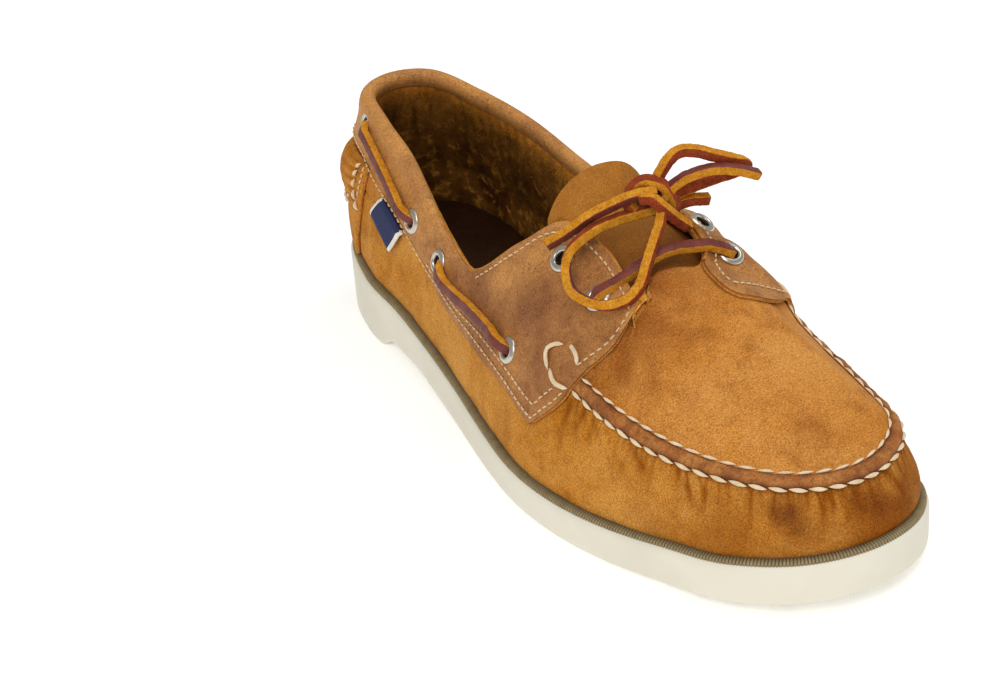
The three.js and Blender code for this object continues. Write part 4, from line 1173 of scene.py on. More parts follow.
@dataclass
class UpperShell:
    """The vamp wall, the apron (plug) and the napped lining, each a closed hoop of leather."""

    form: LastForm
    finishes: Finishes
    leather: float = 1.0
    pleat_count: int = 150

    def columns(self) -> np.ndarray:
        """Shares round the last, closer together where the seam is gathered."""
        return np.r_[np.arange(0, 8.4, 1 / 14), np.arange(8.4, 21.6, 1 / 44),
                     np.arange(21.6, 30, 1 / 14)] / STATIONS

    def pleats(self, u: np.ndarray, below: np.ndarray) -> np.ndarray:
        """Gathers down from the seam: soft troughs, each of its own place, width and length.

        Args:
            u: shares round the last, 0 to 1.
            below: mm below the seam.

        Returns:
            Mm inwards as negative numbers.
        """
        dense = np.linspace(8.7, 21.3, 1500) / STATIONS
        rim = self.form.surface(dense, RIM_SHARE)
        run = run_length(rim)
        s = np.interp(u, dense, run, left=-1e3, right=-1e3)
        rng = np.random.default_rng(11)
        at = np.cumsum(rng.uniform(1.5, 3.1, self.pleat_count))
        at = at[at < run[-1]]
        total = np.zeros(np.broadcast(u, below).shape)
        for place in at:
            depth, width = rng.uniform(0.2, 0.7), rng.uniform(0.45, 0.8)
            length, lean = rng.uniform(5, 17), rng.normal(0, 0.12)
            far = (s - place - lean * below) / (width * (1 + below / 18))
            total -= depth * np.exp(-far**2) * np.clip(1 - below / length, 0, 1) ** 0.8
        return total

    def outer(self, u: np.ndarray, v: np.ndarray, creases: tuple, pleated: bool) -> tuple:
        """Outer points with their creases, and the relief alone.

        Args:
            u: shares round the last, 0 to 1.
            v: heights, 0 at the foot and 1 at the collar.
            creases: creases of this piece.
            pleated: whether it is gathered at the seam.

        Returns:
            Points, normals and relief.
        """
        base, normal = self.form.surface(u, v), self.form.normal(u, v)
        rise = creased(self.form, base, creases)
        rise = rise + 0.16 * soft_noise(base, 26, 3) + 0.05 * soft_noise(base, 7, 4)
        fine = np.zeros(v.shape)
        if pleated:
            rim = self.form.surface(u, RIM_SHARE)
            below = np.linalg.norm(base - rim, axis=-1)
            fine = self.pleats(u, below)
            band = smooth(8.7, 9.3, u * STATIONS) * (1 - smooth(20.8, 21.3, u * STATIONS))
            rise = rise - 0.8 * np.exp(-((below / 1.6) ** 2)) * band
        return base + normal * (rise + fine)[..., None], normal, rise + fine

    def vamp(self) -> None:
        """The wall: one strip of leather from the sole to the seam, all round."""
        f = self.form
        u = self.columns()
        v = np.linspace(0, RIM_SHARE, 46)[:, None] * np.ones(len(u))
        uu = np.broadcast_to(u, v.shape)
        points, _, relief = self.outer(uu, v, WALL_CREASES, True)
        over = [f.offset(u, f.height_at(u, RIM_SHARE, mm), d) for mm,
                d in ((1.2, -0.5), (2.4, -0.7))]
        back = [f.offset(u, h, -self.leather - 0.5) for h in (0.4, 0.3, 0.2, 0.1, 0.0)]
        allp = np.concatenate([points, over, back])
        k = len(allp)
        tones = {name: np.zeros((k, len(u))) for name in ("stain", "deep", "pale")}
        tones["stain"][:46] = patched(f, points, WALL_STAINS)
        # deep: the listed WALL_DEEP patches, plus painted shade in the troughs of creases and
        # gathers and under the seam band; pale: the listed WALL_PALE patches, plus painted highlight
        # on the ridges.
        tones["deep"][:46] = np.clip(patched(f, points, WALL_DEEP)
                                     + np.clip(-relief - 0.1, 0, 1) * 1.5, 0, 1)
        tones["pale"][:46] = np.clip(patched(f, points, WALL_PALE)
                                     + np.clip(relief - 0.02, 0, 1) * 1.2, 0, 1)
        hoop(allp, tones).build(
            "vamp", [self.finishes.vamp], f, "upper", slot="nubuck")

    def apron(self) -> None:
        """The plug on top of the foot, with its stay running back under the quarters."""
        f = self.form
        u = self.columns()[::2]
        under_seam = ((0.4, -1.0), (1.4, -0.7), (2.6, -0.2))
        starts = [(f.height_at(u, RIM_SHARE, mm), d) for mm, d in under_seam]
        first = starts[-1][0]
        t = np.linspace(0, 1, 60)[1:, None]
        v = first + (1 - first) * t
        points, _, _ = self.outer(np.broadcast_to(u, v.shape), v, PLUG_CREASES, False)
        lead = [f.offset(u, h, d) for h, d in starts]
        back = [f.offset(u, h, -self.leather) for h in (1.0, 0.85, 0.7, 0.55, 0.42)]
        allp = np.concatenate([lead, points, back])
        k = len(allp)
        tones = {name: np.zeros((k, len(u))) for name in ("deep", "pale", "stain")}
        # deep: painted shade in the apron's creases, beside the flaps and under the bow.
        tones["deep"][3:3 + len(t)] = patched(f, points, PLUG_PAINTED_SHADE)
        tones["pale"][3:3 + len(t)] = patched(f, points, PLUG_PALE)
        hoop(allp, tones).build(
            "apron_plug", [self.finishes.plug], f, "upper", slot="nubuck")

    def lining(self) -> None:
        """Napped lining, golden at the collar where light catches it and dark below."""
        f = self.form
        n = 480
        u = np.arange(n) / n
        out = [f.offset(u, h, -1.15) for h in (0.0, 0.4, 0.7, 0.98)]
        heights = np.linspace(0.98, 0, 34)
        inn, pale = [], []
        edge = f.surface(u, 1.0)
        for h in heights:
            base = f.surface(u, h)
            p = f.offset(u, h, -UPPER_WALL - 0.1 + 0.12 * soft_noise(base, 5, 8))
            inn.append(p)
            # pale: painted light, the nap's golden glow just below the collar, fading deeper into
            # the shoe.
            depth = np.linalg.norm(edge - base, axis=1) + 2.5 * soft_noise(base, 9, 6)
            brushed = 0.75 + 0.45 * soft_noise(base * [1.0, 1.0, 0.12], 2.2, 9)
            pale.append(np.clip(brushed * np.exp(-np.clip(depth - 7.5, 0, None) / 6.5), 0, 1))
        allp = np.concatenate([out, inn])
        tones = np.concatenate([np.zeros((4, n)), np.array(pale)])
        hoop(allp, {"pale": tones}).build(
            "napped_lining", [self.finishes.lining], f, "upper", slot="lining_leather")

    def nap(self, count: int = 34000) -> None:
        """Short hairs of the lining's nap, thickest below the collar.

        Args:
            count: how many hairs.
        """
        f = self.form
        rng = np.random.default_rng(21)
        station = rng.uniform(-8.2, 6.2, count)
        u = station / STATIONS
        depth = 6.4 + rng.gamma(1.5, 5.0, count)
        v = f.height_at(u, 1.0, -depth)
        n = f.normal(u, v)
        root = f.surface(u, v) - n * (UPPER_WALL + 0.15)
        lean = unit(-n + rng.normal(0, 0.55, (count, 3)) + [0, 0, 0.5])
        side = unit(np.cross(lean, rng.normal(size=(count, 3)))) * 0.07
        tip = root + lean * rng.uniform(0.6, 1.7, count)[:, None]
        back = np.cross(side, lean) * 0.8
        pts = np.stack([root - side, root + side, root + back, tip], 1).reshape(-1, 3)
        k = np.arange(count)[:, None] * 4
        tris = np.concatenate([k + [0, 1, 3], k + [1, 2, 3], k + [2, 0, 3], k + [1, 0, 2]])
        # pale: painted light on the hairs, brightest just below the collar.
        tones = np.repeat(np.clip(1.1 * np.exp(-(depth - 6.4) / 7.5) + rng.normal(0, 0.16, count),
                                  0, 1), 4)
        Shell(pts, [tris], [0], {"pale": tones}).build("lining_nap", [self.finishes.lining], f)


@dataclass
class ApronSeam:
    """The moccasin seam: a folded band of leather between two rows of thick waxed thread."""

    form: LastForm
    finishes: Finishes
    first: float = 8.93
    last: float = 21.15
    width: float = 5.2
    rise: float = 1.75

    def band(self) -> None:
        """The ridge, lumpy where the gathers push it up."""
        f = self.form
        n = 900
        u = np.linspace(self.first, self.last, n) / STATIONS
        w = np.linspace(0, 1, 15)
        rows = []
        for k in w:
            h = f.height_at(u, RIM_SHARE, -0.5 + self.width * k)
            base = f.surface(u, h)
            lump = 0.28 * soft_noise(base, 5.0, 31) + 0.2 * soft_noise(base, 2.0, 32)
            arch = (1 - abs(2 * k - 1) ** 2.6) ** 0.6
            ends = smooth(self.first, self.first + 0.12,
                          u * STATIONS) * (1 - smooth(self.last - 0.12, self.last, u * STATIONS))
            over = (self.rise * arch + lump * arch) * (0.5 + 0.5 * ends)
            rows.append(base + f.normal(u, h) * (-0.35 + over)[:, None])
        low = [f.offset(u, f.height_at(u, RIM_SHARE, -0.5 + self.width * k), -0.9)
               for k in (1.0, 0.5, 0.0)]
        allp = np.concatenate([rows, low])
        k = len(allp)
        # deep: darker towards both edges where the band dips into the seam, painted shade in the
        # grooves, with some random tone.
        deep = np.zeros((k, n))
        for i, share in enumerate(w):
            deep[i] = np.clip(1.1 * abs(2 * share - 1) ** 2.2 + 0.3 * soft_noise(rows[i], 7, 33), 0,
                              1)
        first_column = np.arange(k) * n
        caps = np.array([first_column[::-1], first_column + n - 1])
        quads = grid_quads(k, n, False, True)
        shell = Shell(allp.reshape(-1, 3), [quads, caps], [0, 0], {"deep": deep})
        shell.build("seam_band", [self.finishes.band], f)

    def threads(self) -> None:
        """Both rows of thick stitches, and the loop that anchors the outer one."""
        f = self.form
        outer = SurfacePath.at_mm(f, self.first + 0.05, self.last + 0.1, RIM_SHARE, -0.75, 0.3)
        inner = SurfacePath.at_mm(f, self.first + 0.15, self.last - 0.1, RIM_SHARE,
                                  self.width - 0.2, 0.3)
        rows = [stitch_row(outer, 5.9, 0.3, 1.45, 1.25, StitchForm.HAND, 0.22),
                stitch_row(inner, 5.6, 0.4, 1.1, 0.95, StitchForm.HAND, -0.18)]
        loop = SurfacePath(f, [(8.39, 0.429), (8.2, 0.5), (8.29, 0.546), (8.46, 0.575)],
                           OVERLAY_OUTER + 0.35)
        loop2 = SurfacePath(f, [(8.56, 0.592), (8.72, 0.585), (8.86, 0.56), (8.93, 0.52)],
                            OVERLAY_OUTER + 0.35)
        tail = SurfacePath(f, [(8.4, 0.44), (8.62, 0.4), (8.85, 0.395), (9.0, 0.4)],
                           OVERLAY_OUTER + 0.2)
        mirror = SurfacePath(f, [(21.6, 0.43), (21.35, 0.5), (21.1, 0.5), (20.95, 0.44)],
                             OVERLAY_OUTER + 0.35)
        for path in (loop, loop2, tail, mirror):
            rows.append(stitch_row(path, path.along[-1] * 0.97, 0.1, 1.6, 1.4, StitchForm.MACHINE))
        joined(rows).build("seam_thread", [self.finishes.thread], f)


@dataclass(frozen=True)
class QuarterShape:
    """Edges of one quarter: lower edge by station, flap front by height, end of its padding."""

    name: str
    node: str
    low: tuple
    front: tuple
    collar: tuple
    eyelets: tuple


LATERAL = QuarterShape(
    "quarter_outer", "quarter_lateral",
    ((-2.3, 0.62), (0.0, 0.7), (1.0, 0.69), (1.81, 0.655), (2.36, 0.6), (3.06, 0.49), (3.5, 0.415),
     (3.87, 0.362), (4.6, 0.345),
     (5.47, 0.33), (7.08, 0.285), (8.6, 0.22)),
    ((0.22, 8.6), (0.4, 9.0), (0.52, 9.2), (0.64, 9.5), (0.75, 9.75), (0.86, 9.6), (0.93, 9.3),
     (1.0, 8.95)), (2.4, 5.2),
    ("lateral_1", "lateral_2", "lateral_3", "lateral_4", "lateral_5", "lateral_6", "medial_1"))
MEDIAL = QuarterShape(
    "quarter_inner", "quarter_medial",
    ((-2.3, 0.62), (-3.06, 0.52), (-3.87, 0.42), (-5.47, 0.36), (-7.08, 0.3), (-8.6, 0.24)),
    ((0.24, -8.6), (0.4, -9.1), (0.52, -9.4), (0.6, -10.1), (0.72, -11.35), (0.83, -12.85),
     (0.87, -13.45), (0.92, -13.5),
     (0.96, -12.7), (1.0, -10.4)), (5.3, 6.9),
    ("medial_2", "medial_3", "medial_4", "medial_5", "medial_6"))


@dataclass
class Quarters:
    """The two brown quarters with their rolled collar, cut edges and rows of fine stitches."""

    form: LastForm
    finishes: Finishes
    roll_out: float = 1.0
    roll_in: float = -3.0
    roll_drop: float = 3.8
    roll_reach: float = 4.5
    cut_drop: float = 0.6
    face_rows: int = 50
    roll_rows: int = 13
    columns: int = 430

    def sheet(self, shape: QuarterShape) -> None:
        """One quarter: outer face, roll or cut edge, inner face.

        Args:
            shape: which quarter, and its edges.
        """
        f = self.form
        seam, corner = shape.low[0][0], shape.low[-1][0]
        na, nb, ns = self.face_rows, self.roll_rows, self.columns
        share = np.linspace(0, 1, ns)
        bottom = eased(shape.low, seam + share * (corner - seam))
        x = np.linspace(0, 1, na)[:, None]
        t = 1 - (1 - x) ** 1.25
        v = bottom + (1 - bottom) * t
        st = seam + share * (eased(shape.front, v) - seam)
        pad = 1 - smooth(*shape.collar, np.abs(st[-1]))
        drop = self.cut_drop + (self.roll_drop - self.cut_drop) * pad
        vtop = f.height_at(st[-1] / STATIONS, 1.0, -drop)
        v = bottom + (vtop - bottom) * t
        st = seam + share * (eased(shape.front, v) - seam)
        u = st / STATIONS
        base, normal = f.surface(u, v), f.normal(u, v)
        edge_u = st[-1] / STATIONS
        edge = f.surface(edge_u, np.ones(ns))
        below = np.linalg.norm(base - edge, axis=-1)
        rise = 0.14 * soft_noise(base, 22, 13) + 0.06 * soft_noise(base, 6, 14)
        for name in shape.eyelets:
            c, facing = f.eyelet(name)
            far = np.linalg.norm(base - c, axis=-1)
            pull = np.array(EYELET_PULL.get(name, (0, 0, 0)))
            turn = pull - facing * (pull @ facing)
            rise = rise - ((base - c) @ turn) * 0.9 * np.exp(-((far / 8.5) ** 4))
            rise = rise - 3.2 * (1
                                 - smooth(2.7, 3.7, far)) + 0.25 * np.exp(-((far - 6.0) / 1.6) ** 2)
        swell = np.exp(-((below - self.roll_drop) / self.roll_reach) ** 2)
        outward = OVERLAY_OUTER + self.roll_out * pad * swell
        a_rows = base + normal * (outward + rise)[..., None]
        inward = self.roll_in + (OVERLAY_INNER - self.roll_in) * smooth(5.0, 8.5, below)
        inner = OVERLAY_INNER + (inward - OVERLAY_INNER) * pad
        sunk = np.minimum(rise, 0)
        c_rows = (base + normal * (inner + sunk * (1 - pad))[..., None])[::-1]
        o, i = outward[-1], inner[-1]
        angle = np.linspace(0, np.pi, nb + 2)[1:-1, None]
        lift = (edge - base[-1]) * (1 + 0.35 / np.maximum(drop, self.cut_drop))[:, None]
        across = ((o + i) / 2 + (o - i) / 2 * np.cos(angle))
        b_rows = base[-1] + normal[-1] * across[..., None] + lift * (np.sin(angle) ** 0.8)[..., None]
        allp = np.concatenate([a_rows, b_rows, c_rows])
        k = len(allp)
        grid = grid_quads(k, ns, False, True)
        caps = []
        ladder = [(r, k - 1 - r) for r in range(k // 2)]
        for (r0, q0), (r1, q1) in zip(ladder, ladder[1:]):
            caps.append([r0 * ns, r1 * ns, q1 * ns, q0 * ns][::-1])
            caps.append([r0 * ns + ns - 1, r1 * ns + ns - 1, q1 * ns + ns - 1, q0 * ns + ns - 1])
        grid_finish = np.zeros(len(grid), int)
        grid_finish[(k - 1) * (ns - 1):] = 1
        thin = np.tile((pad < 0.05)[None, :-1], (nb + 1, 1)).ravel()
        rows = slice((na - 1) * (ns - 1), (na + nb) * (ns - 1))
        grid_finish[rows] = np.where(thin, 1, 0)
        quads = [grid, np.array(caps)]
        if corner < seam:
            quads = [q[:, ::-1] for q in quads]
        tones = {"deep": np.zeros((k, ns)), "pale": np.zeros((k, ns))}
        outside = np.concatenate([a_rows, b_rows])
        tones["deep"][:na + nb] = patched(f, outside, QUARTER_DEEP)
        tones["pale"][:na + nb] = patched(f, outside, QUARTER_PALE)
        Shell(allp.reshape(-1, 3), quads, [grid_finish, 1], tones).build(
            shape.name, [self.finishes.quarter, self.finishes.raw_edge], f, shape.node,
            slot="quarter_leather")

    def rows(self) -> None:
        """Rows of fine machine stitches along the quarters' edges."""
        f = self.form
        lift = OVERLAY_OUTER + 0.12
        lines = [
            [(-2.0, 0.66), (-1.0, 0.7), (0.0, 0.735), (1.0, 0.72), (1.75, 0.69), (2.03, 0.655),
             (2.44, 0.597), (3.08, 0.515),
             (3.72, 0.42), (4.21, 0.395), (5.57, 0.372), (7.04, 0.32), (8.39, 0.252), (8.55, 0.25),
             (8.66, 0.3), (8.9, 0.385)],
            [(3.75, 0.475), (4.15, 0.45), (5.48, 0.42), (6.9, 0.368), (8.17, 0.305), (8.4, 0.3),
             (8.5, 0.34), (8.72, 0.4)],
            [(8.92, 0.52), (9.13, 0.62), (9.4, 0.73), (9.36, 0.82), (9.12, 0.9), (8.8, 0.962)],
            [(5.2, 0.88), (5.35, 0.905), (5.76, 0.915), (6.19, 0.93), (6.83, 0.935), (7.2, 0.95),
             (7.6, 0.962), (8.05, 0.96), (8.5, 0.962), (8.8, 0.962)],
            [(-2.6, 0.6), (-3.06, 0.555), (-3.87, 0.46), (-5.47, 0.4), (-7.08, 0.34), (-8.35, 0.29),
             (-8.5, 0.3), (-8.75, 0.4)],
            [(-2.32, 0.74), (-2.3, 0.82), (-2.28, 0.9), (-2.26, 0.97)],
            [(-2.46, 0.74), (-2.44, 0.82), (-2.42, 0.9), (-2.4, 0.97)],
            [(-8.8, 0.42), (-9.1, 0.5), (-9.7, 0.6), (-10.8, 0.74), (-12.2, 0.85), (-12.9, 0.89),
             (-12.8, 0.92), (-11.8, 0.94), (-10.2, 0.95),
             (-9.0, 0.955), (-8.3, 0.955), (-7.5, 0.95), (-6.7, 0.92)],
        ]
        rows = [stitch_row(SurfacePath(f, line, lift), 2.1, 0.9, 0.65, 0.6, StitchForm.MACHINE,
                           0.12) for line in lines]
        joined(rows).build("quarter_stitches", [self.finishes.fine_thread], f)


TONGUE = (
    (68, 0, 11, 72.5, 0, 0.0215, 0), (60, 0, 18, 75.4, 0, 0.0205, 0),
    (48, -1, 23, 79.2, 0, 0.019, 0),
    (36, -3, 23, 83, 0, 0.0165, 5.5e-6), (24, -3, 22, 86.4, 0, 0.0175, 9e-6),
    (17, -1.5, 15, 88.4, 0, 0.021, 9e-6),
    (11, -1, 12.5, 90.2, -0.05, 0.02, 1e-5), (6, -2.6, 15.5, 92.4, -0.12, 0.012, 2.5e-5),
    (2, -4.5, 19.5, 94, -0.12, 0.01, 3e-5),
    (-1, -6, 18, 95.2, -0.12, 0.01, 3e-5), (-3, -7, 12, 95.8, -0.12, 0.01, 3e-5),
    (-4.2, -7.5, 2, 96.2, -0.12, 0.01, 3e-5),
)


@dataclass
class Tongue:
    """Arched tongue that lies under the flaps, with a cut edge."""

    form: LastForm
    finishes: Finishes
    thickness: float = 1.9

    def build(self) -> None:
        """A closed sheet with a rounded rim."""
        columns = np.array(TONGUE, float)
        y = np.concatenate([np.linspace(-4.2, -1, 20), np.linspace(-0.9, 68, 70)])
        read = [eased(tuple(zip(columns[:, 0], column)), y)[:, None] for column in columns.T[1:]]
        middle, half, crown, tilt, arch, fall = read
        s = np.linspace(1, -1, 71)[None, :]
        x = half * s
        z = crown + tilt * x - arch * x**2 - fall * x**4
        top = np.stack([middle + x, np.broadcast_to(y[:, None], x.shape), z], -1)
        top[..., 2] += 0.15 * soft_noise(top, 18, 41) - 0.35 * np.exp(-((np.abs(s) - 1) / 0.03) ** 2)
        under = top.copy()
        under[..., 2] -= self.thickness
        # Painted shade: darker towards the front under the knot and flaps, and fully dark on the
        # underside.
        shade = 0.6 * smooth(12, 40, top[..., 1])
        tones = {"deep": np.concatenate([shade.ravel(), np.ones(shade.size)])}
        sheet(top, under, [0, 0, 1], tones).build(
            "tongue_leather", [self.finishes.tongue, self.finishes.raw_edge], self.form, "tongue",
            slot="nubuck")


@dataclass
class HeelWork:
    """The counter over the heel, the gathered pad above it, and their threads."""

    form: LastForm
    finishes: Finishes

    def counter(self) -> None:
        """Flat overlay whose raw front edge shows orange."""
        f = self.form
        line = ((0.02, 1.6), (0.1, 1.68), (0.18, 1.74), (0.286, 1.8), (0.4, 1.87), (0.487, 1.94),
                (0.63, 1.99))
        v = np.linspace(0.02, 0.63, 46)[:, None]
        reach = eased(line, v)
        s = np.linspace(-1, 1, 150)[None, :]
        u = reach * s / STATIONS
        vv = np.broadcast_to(v, u.shape)
        base = f.surface(u, vv)
        rounded = 0.5 * np.clip((np.abs(s) - 0.985) / 0.015, 0, 1) ** 2
        lift = 1.75 + 0.1 * soft_noise(base, 15, 51) - rounded
        out = base + f.normal(u, vv) * lift[..., None]
        inn = f.offset(u, vv, 0.15)
        sheet(out, inn, [0, 0, 1], {}).build(
            "heel_counter_leather", [self.finishes.vamp, self.finishes.raw_edge], f, "heel_counter",
            slot="nubuck")

    def pad(self) -> None:
        """Gathered pad, fullest in the middle, drawn in at each thick stitch."""
        f = self.form
        s = np.linspace(0, 1, 150)[None, :]
        t = np.linspace(0, 1, 54)[:, None]
        u = (-1.62 + 3.3 * s) / STATIONS * np.ones_like(t)
        v = 0.31 + 0.315 * t * np.ones_like(s)
        base = f.surface(u, v)
        round_ = np.sin(np.pi * t) ** 0.6 * np.sin(np.pi * s) ** 0.3
        end = np.minimum(s, 1 - s) * 68
        low = t * 16
        at_ends = 0.5 * np.cos(t * 2 * np.pi * 5) * np.exp(-end / 5)
        below = 0.35 * np.cos(s * 2 * np.pi * 13 + 0.6 * np.sin(s * 31)) * np.exp(-low / 4.0)
        gather = at_ends + below
        out = base + f.normal(u, v) * (1.2 + 5.2 * round_ + gather
                                       * np.clip(round_ * 1.6, 0, 1))[..., None]
        inn = f.offset(u, v, 0.3)
        # deep: slightly darker all over, and darker still in the gathers' troughs as painted shade
        # in the folds.
        deep = np.concatenate([np.clip(0.25 - gather, 0, 0.9).ravel(), np.zeros(gather.size)])
        sheet(out, inn, [0, 0, 0], {"deep": deep}).build(
            "heel_pad", [self.finishes.vamp], f, "heel_kicker", slot="nubuck")

    def threads(self) -> None:
        """Thick stitches that draw the pad in, fine ones along the overlay's edge."""
        f = self.form
        thick, fine = [], []
        for side in (1, -1):
            line = [(1.8 * side, 0.62), (1.7 * side, 0.54), (1.66 * side, 0.47), (1.66 * side, 0.4),
                    (1.75 * side, 0.345), (1.9 * side, 0.315)]
            thick.append(stitch_row(SurfacePath(f, line, 2.3), 4.2, 0.5, 1.6, 1.5, StitchForm.HAND,
                                    0.25))
            line = [(1.93 * side, 0.62), (1.88 * side, 0.52), (1.83 * side, 0.45),
                    (1.78 * side, 0.37)]
            fine.append(stitch_row(SurfacePath(f, line, 1.95), 2.3, 0.75, 0.85, 0.7,
                                   StitchForm.MACHINE))
        low = SurfacePath(f, [(-1.6, 0.305), (-0.8, 0.295), (0.0, 0.29), (0.8, 0.295),
                              (1.6, 0.305)], 2.3)
        thick.append(stitch_row(low, 4.2, 0.5, 1.6, 1.5, StitchForm.HAND, 0.25))
        joined(thick).build("heel_thread", [self.finishes.thread], f)
        joined(fine).build("heel_fine_stitches", [self.finishes.fine_thread], f)


# ------------------------------------------------------------------ eyelets, laces, tag
# One ring's section: distance from its middle, height over the leather.
RING_SECTION = (
    (2.35, -1.7), (2.4, 0.35), (2.62, 0.8), (3.05, 1.05), (3.6, 1.0), (4.15, 0.78), (4.6, 0.42),
    (4.82, 0.12),
    (4.8, -0.1), (4.2, -0.2), (2.9, -0.4), (2.85, -1.7),
)


@dataclass
class EyeletRings:
    """Rolled nickel eyelets; a near-black disc closes each barrel as painted shade in the hole."""

    form: LastForm
    finishes: Finishes
    turns: int = 44
    barrel_radius: float = 2.5
    barrel_floor: float = 1.5
    floor_thickness: float = 0.15

    def build(self) -> None:
        """One mesh of all twelve rings, each turned from its section."""
        section = np.array(RING_SECTION, float)
        turns, k = self.turns, len(section)
        angle = np.arange(turns) / turns * 2 * np.pi
        shells = []
        for name in EYELETS:
            middle, n = self.form.eyelet(name)
            centre = middle + n * (OVERLAY_OUTER + 0.05)
            a = unit(np.cross(n, [0.0, 0.3, 1.0]))
            b = np.cross(n, a)
            spokes = a * np.cos(angle)[:, None] + b * np.sin(angle)[:, None]
            ring = centre + n * section[:, None, 1:2] + spokes[None] * section[:, None, 0:1]
            # The disc closes the barrel in near-black: painted shade in the hole.
            disc = centre - n * self.barrel_floor + spokes * self.barrel_radius
            disc2 = disc - n * self.floor_thickness
            base = k * turns
            cap = np.array([list(range(base, base + turns)),
                            list(range(base + turns, base + 2 * turns))[::-1]])
            wall = grid_quads(2, turns, True) + base
            shells.append(Shell(np.concatenate([ring.reshape(-1, 3), disc, disc2]),
                                [grid_quads(k, turns, True, True), cap, wall], [0, 1, 1], {}))
        nodes = ["eyelet_" + name for name in EYELETS]
        joined(shells).build("nickel_eyelets", [self.finishes.nickel, self.finishes.dark],
                             self.form, *nodes, slot="eyelet_metal")


LACE_ZERO = np.array([0.42, 0.77, 0.48])


@dataclass
class RawhideLace:
    """Square-cut rawhide: burgundy grain on one face, golden cut sides, red-brown flesh behind."""

    form: LastForm
    finishes: Finishes
    width: float = 3.8
    depth: float = 3.2

    def section(self) -> tuple:
        """Rounded square section and the finish of each of its sides.

        Returns:
            Section points and a finish number for each side.
        """
        w, d, r = self.width / 2, self.depth / 2, 0.55
        pts, finish = [], []
        for i, (sx, sy) in enumerate(((1, 1), (-1, 1), (-1, -1), (1, -1))):
            for k in range(4):
                a = math.radians(90 * i + 30 * k)
                pts.append((sx * (w - r) + r * math.cos(a), sy * (d - r) + r * math.sin(a)))
                finish.append([0, 1, 2, 1][i]
                              if k == 3 else ([1, 0, 1, 2][i] if k == 0 else [0, 1, 2, 1][i]))
        return np.array(pts), np.array(finish)

    def run(self, points: list, grain: list) -> tuple:
        """One length of lace: points it passes, and at each the way its grain face looks.

        A way is a direction, or one turn in degrees about the lace from the direction LACE_ZERO.

        Args:
            points: the points it passes, in mm.
            grain: the way its grain face looks at each of them.

        Returns:
            The shell and its middle line.
        """
        if np.ndim(grain[0]) == 0:
            line = line_through([tuple(p) + (g,) for p, g in zip(points, grain)], 0.8)
            along = unit(np.gradient(line[:, :3], axis=0))
            zero = unit(LACE_ZERO - along * np.sum(LACE_ZERO * along, 1, keepdims=True))
            turn = np.radians(line[:, 3:4])
            centre, up = line[:, :3], np.cos(turn) * zero + np.sin(turn) * np.cross(along, zero)
        else:
            line = line_through([tuple(p) + tuple(g) for p, g in zip(points, grain)], 0.8)
            centre, up = line[:, :3], unit(line[:, 3:6])
        rough = np.stack([soft_noise(centre, 2.3, 60 + k) for k in range(3)], -1) * 0.07
        profile, finish = self.section()
        shell = sweep(centre + rough, up, profile, finish)
        fuzz = np.stack([soft_noise(shell.points, 1.3, 70 + k) for k in range(3)], -1)
        shell.points = shell.points + 0.06 * fuzz
        return shell, centre

    def materials(self) -> list:
        """Grain, cut sides, flesh."""
        return [self.finishes.lace_grain, self.finishes.lace_cut, self.finishes.lace_flesh]

    def side(self, name: str, node: str, start: str, end: str) -> None:
        """A run lying on a quarter from one eyelet into the next.

        Args:
            name: the piece's name.
            node: the solid it stands for.
            start: the eyelet it comes from.
            end: the eyelet it goes to.
        """
        f = self.form
        (s0, h0), (s1, h1) = EYELETS[start], EYELETS[end]
        shares = (0.0, 0.03, 0.1, 0.2, 0.5, 0.8, 0.9, 0.97, 1.0)
        lifts = (-0.2, 2.6, 4.9, 4.5, 3.9, 4.5, 4.9, 2.6, -0.2)
        pts, ups = [], []
        for t, lift in zip(shares, lifts):
            u, v = np.array([(s0 + (s1 - s0) * t) / STATIONS]), np.array([h0 + (h1 - h0) * t])
            n = f.normal(u, v)[0]
            pts.append(f.surface(u, v)[0] + n * lift)
            ups.append(n)
        shell, _ = self.run(pts, ups)
        shell.build(name, self.materials(), f, node, slot="rawhide")

    def mouth(self, name: str, lift: float) -> np.ndarray:
        """The point `lift` above an eyelet's middle."""
        middle, facing = self.form.eyelet(name)
        return middle + facing * lift

    def bar(self) -> None:
        """From the lower outer eyelet under the knot to the lower inner one."""
        a0, a1 = self.mouth("lateral_6", 0.0), self.mouth("lateral_6", 4.2)
        b0, b1 = self.mouth("medial_6", 0.0), self.mouth("medial_6", 4.2)
        points = [a0, a1 + [-0.6, 0.6, 0.2], (17.2, 50.6, 82.4), (9.6, 49.6, 84.2),
                  (2.6, 48.9, 85.6), (-4.4, 48.8, 85.8), (-11.5, 49.2, 84.6),
                  (-18.4, 49.6, 82.9), b1 + [1.8, 0, 0.4], b0]
        ups = [(0.5, 0.1, 0.8), (0.4, 0.0, 0.9), (0.2, 0.1, 1), (0.1, 0.2, 1), (0.1, 0.3, 1),
               (0.1, 0.35, 1), (0.1, 0.35, 1), (0, 0.35, 1),
               (-0.1, 0.3, 1), (-0.3, 0.3, 0.9)]
        shell, _ = self.run(points, ups)
        shell.build("lace_crossing", self.materials(), self.form, "lace_bar", slot="rawhide")

    def free(self, name: str, node: str, points: list, ups: list, far_end: str,
             extra: tuple = ()) -> bpy.types.Object:
        """A free part of the lace.

        Args:
            name: the piece's name.
            node: the solid it stands for.
            points: the points it passes.
            ups: the way its grain face looks, in degrees.
            far_end: not used.
            extra: not used.

        Returns:
            The new object.
        """
        shell, centre = self.run(points, ups)
        obj = shell.build(name, self.materials(), self.form, node, slot="rawhide")
        return obj

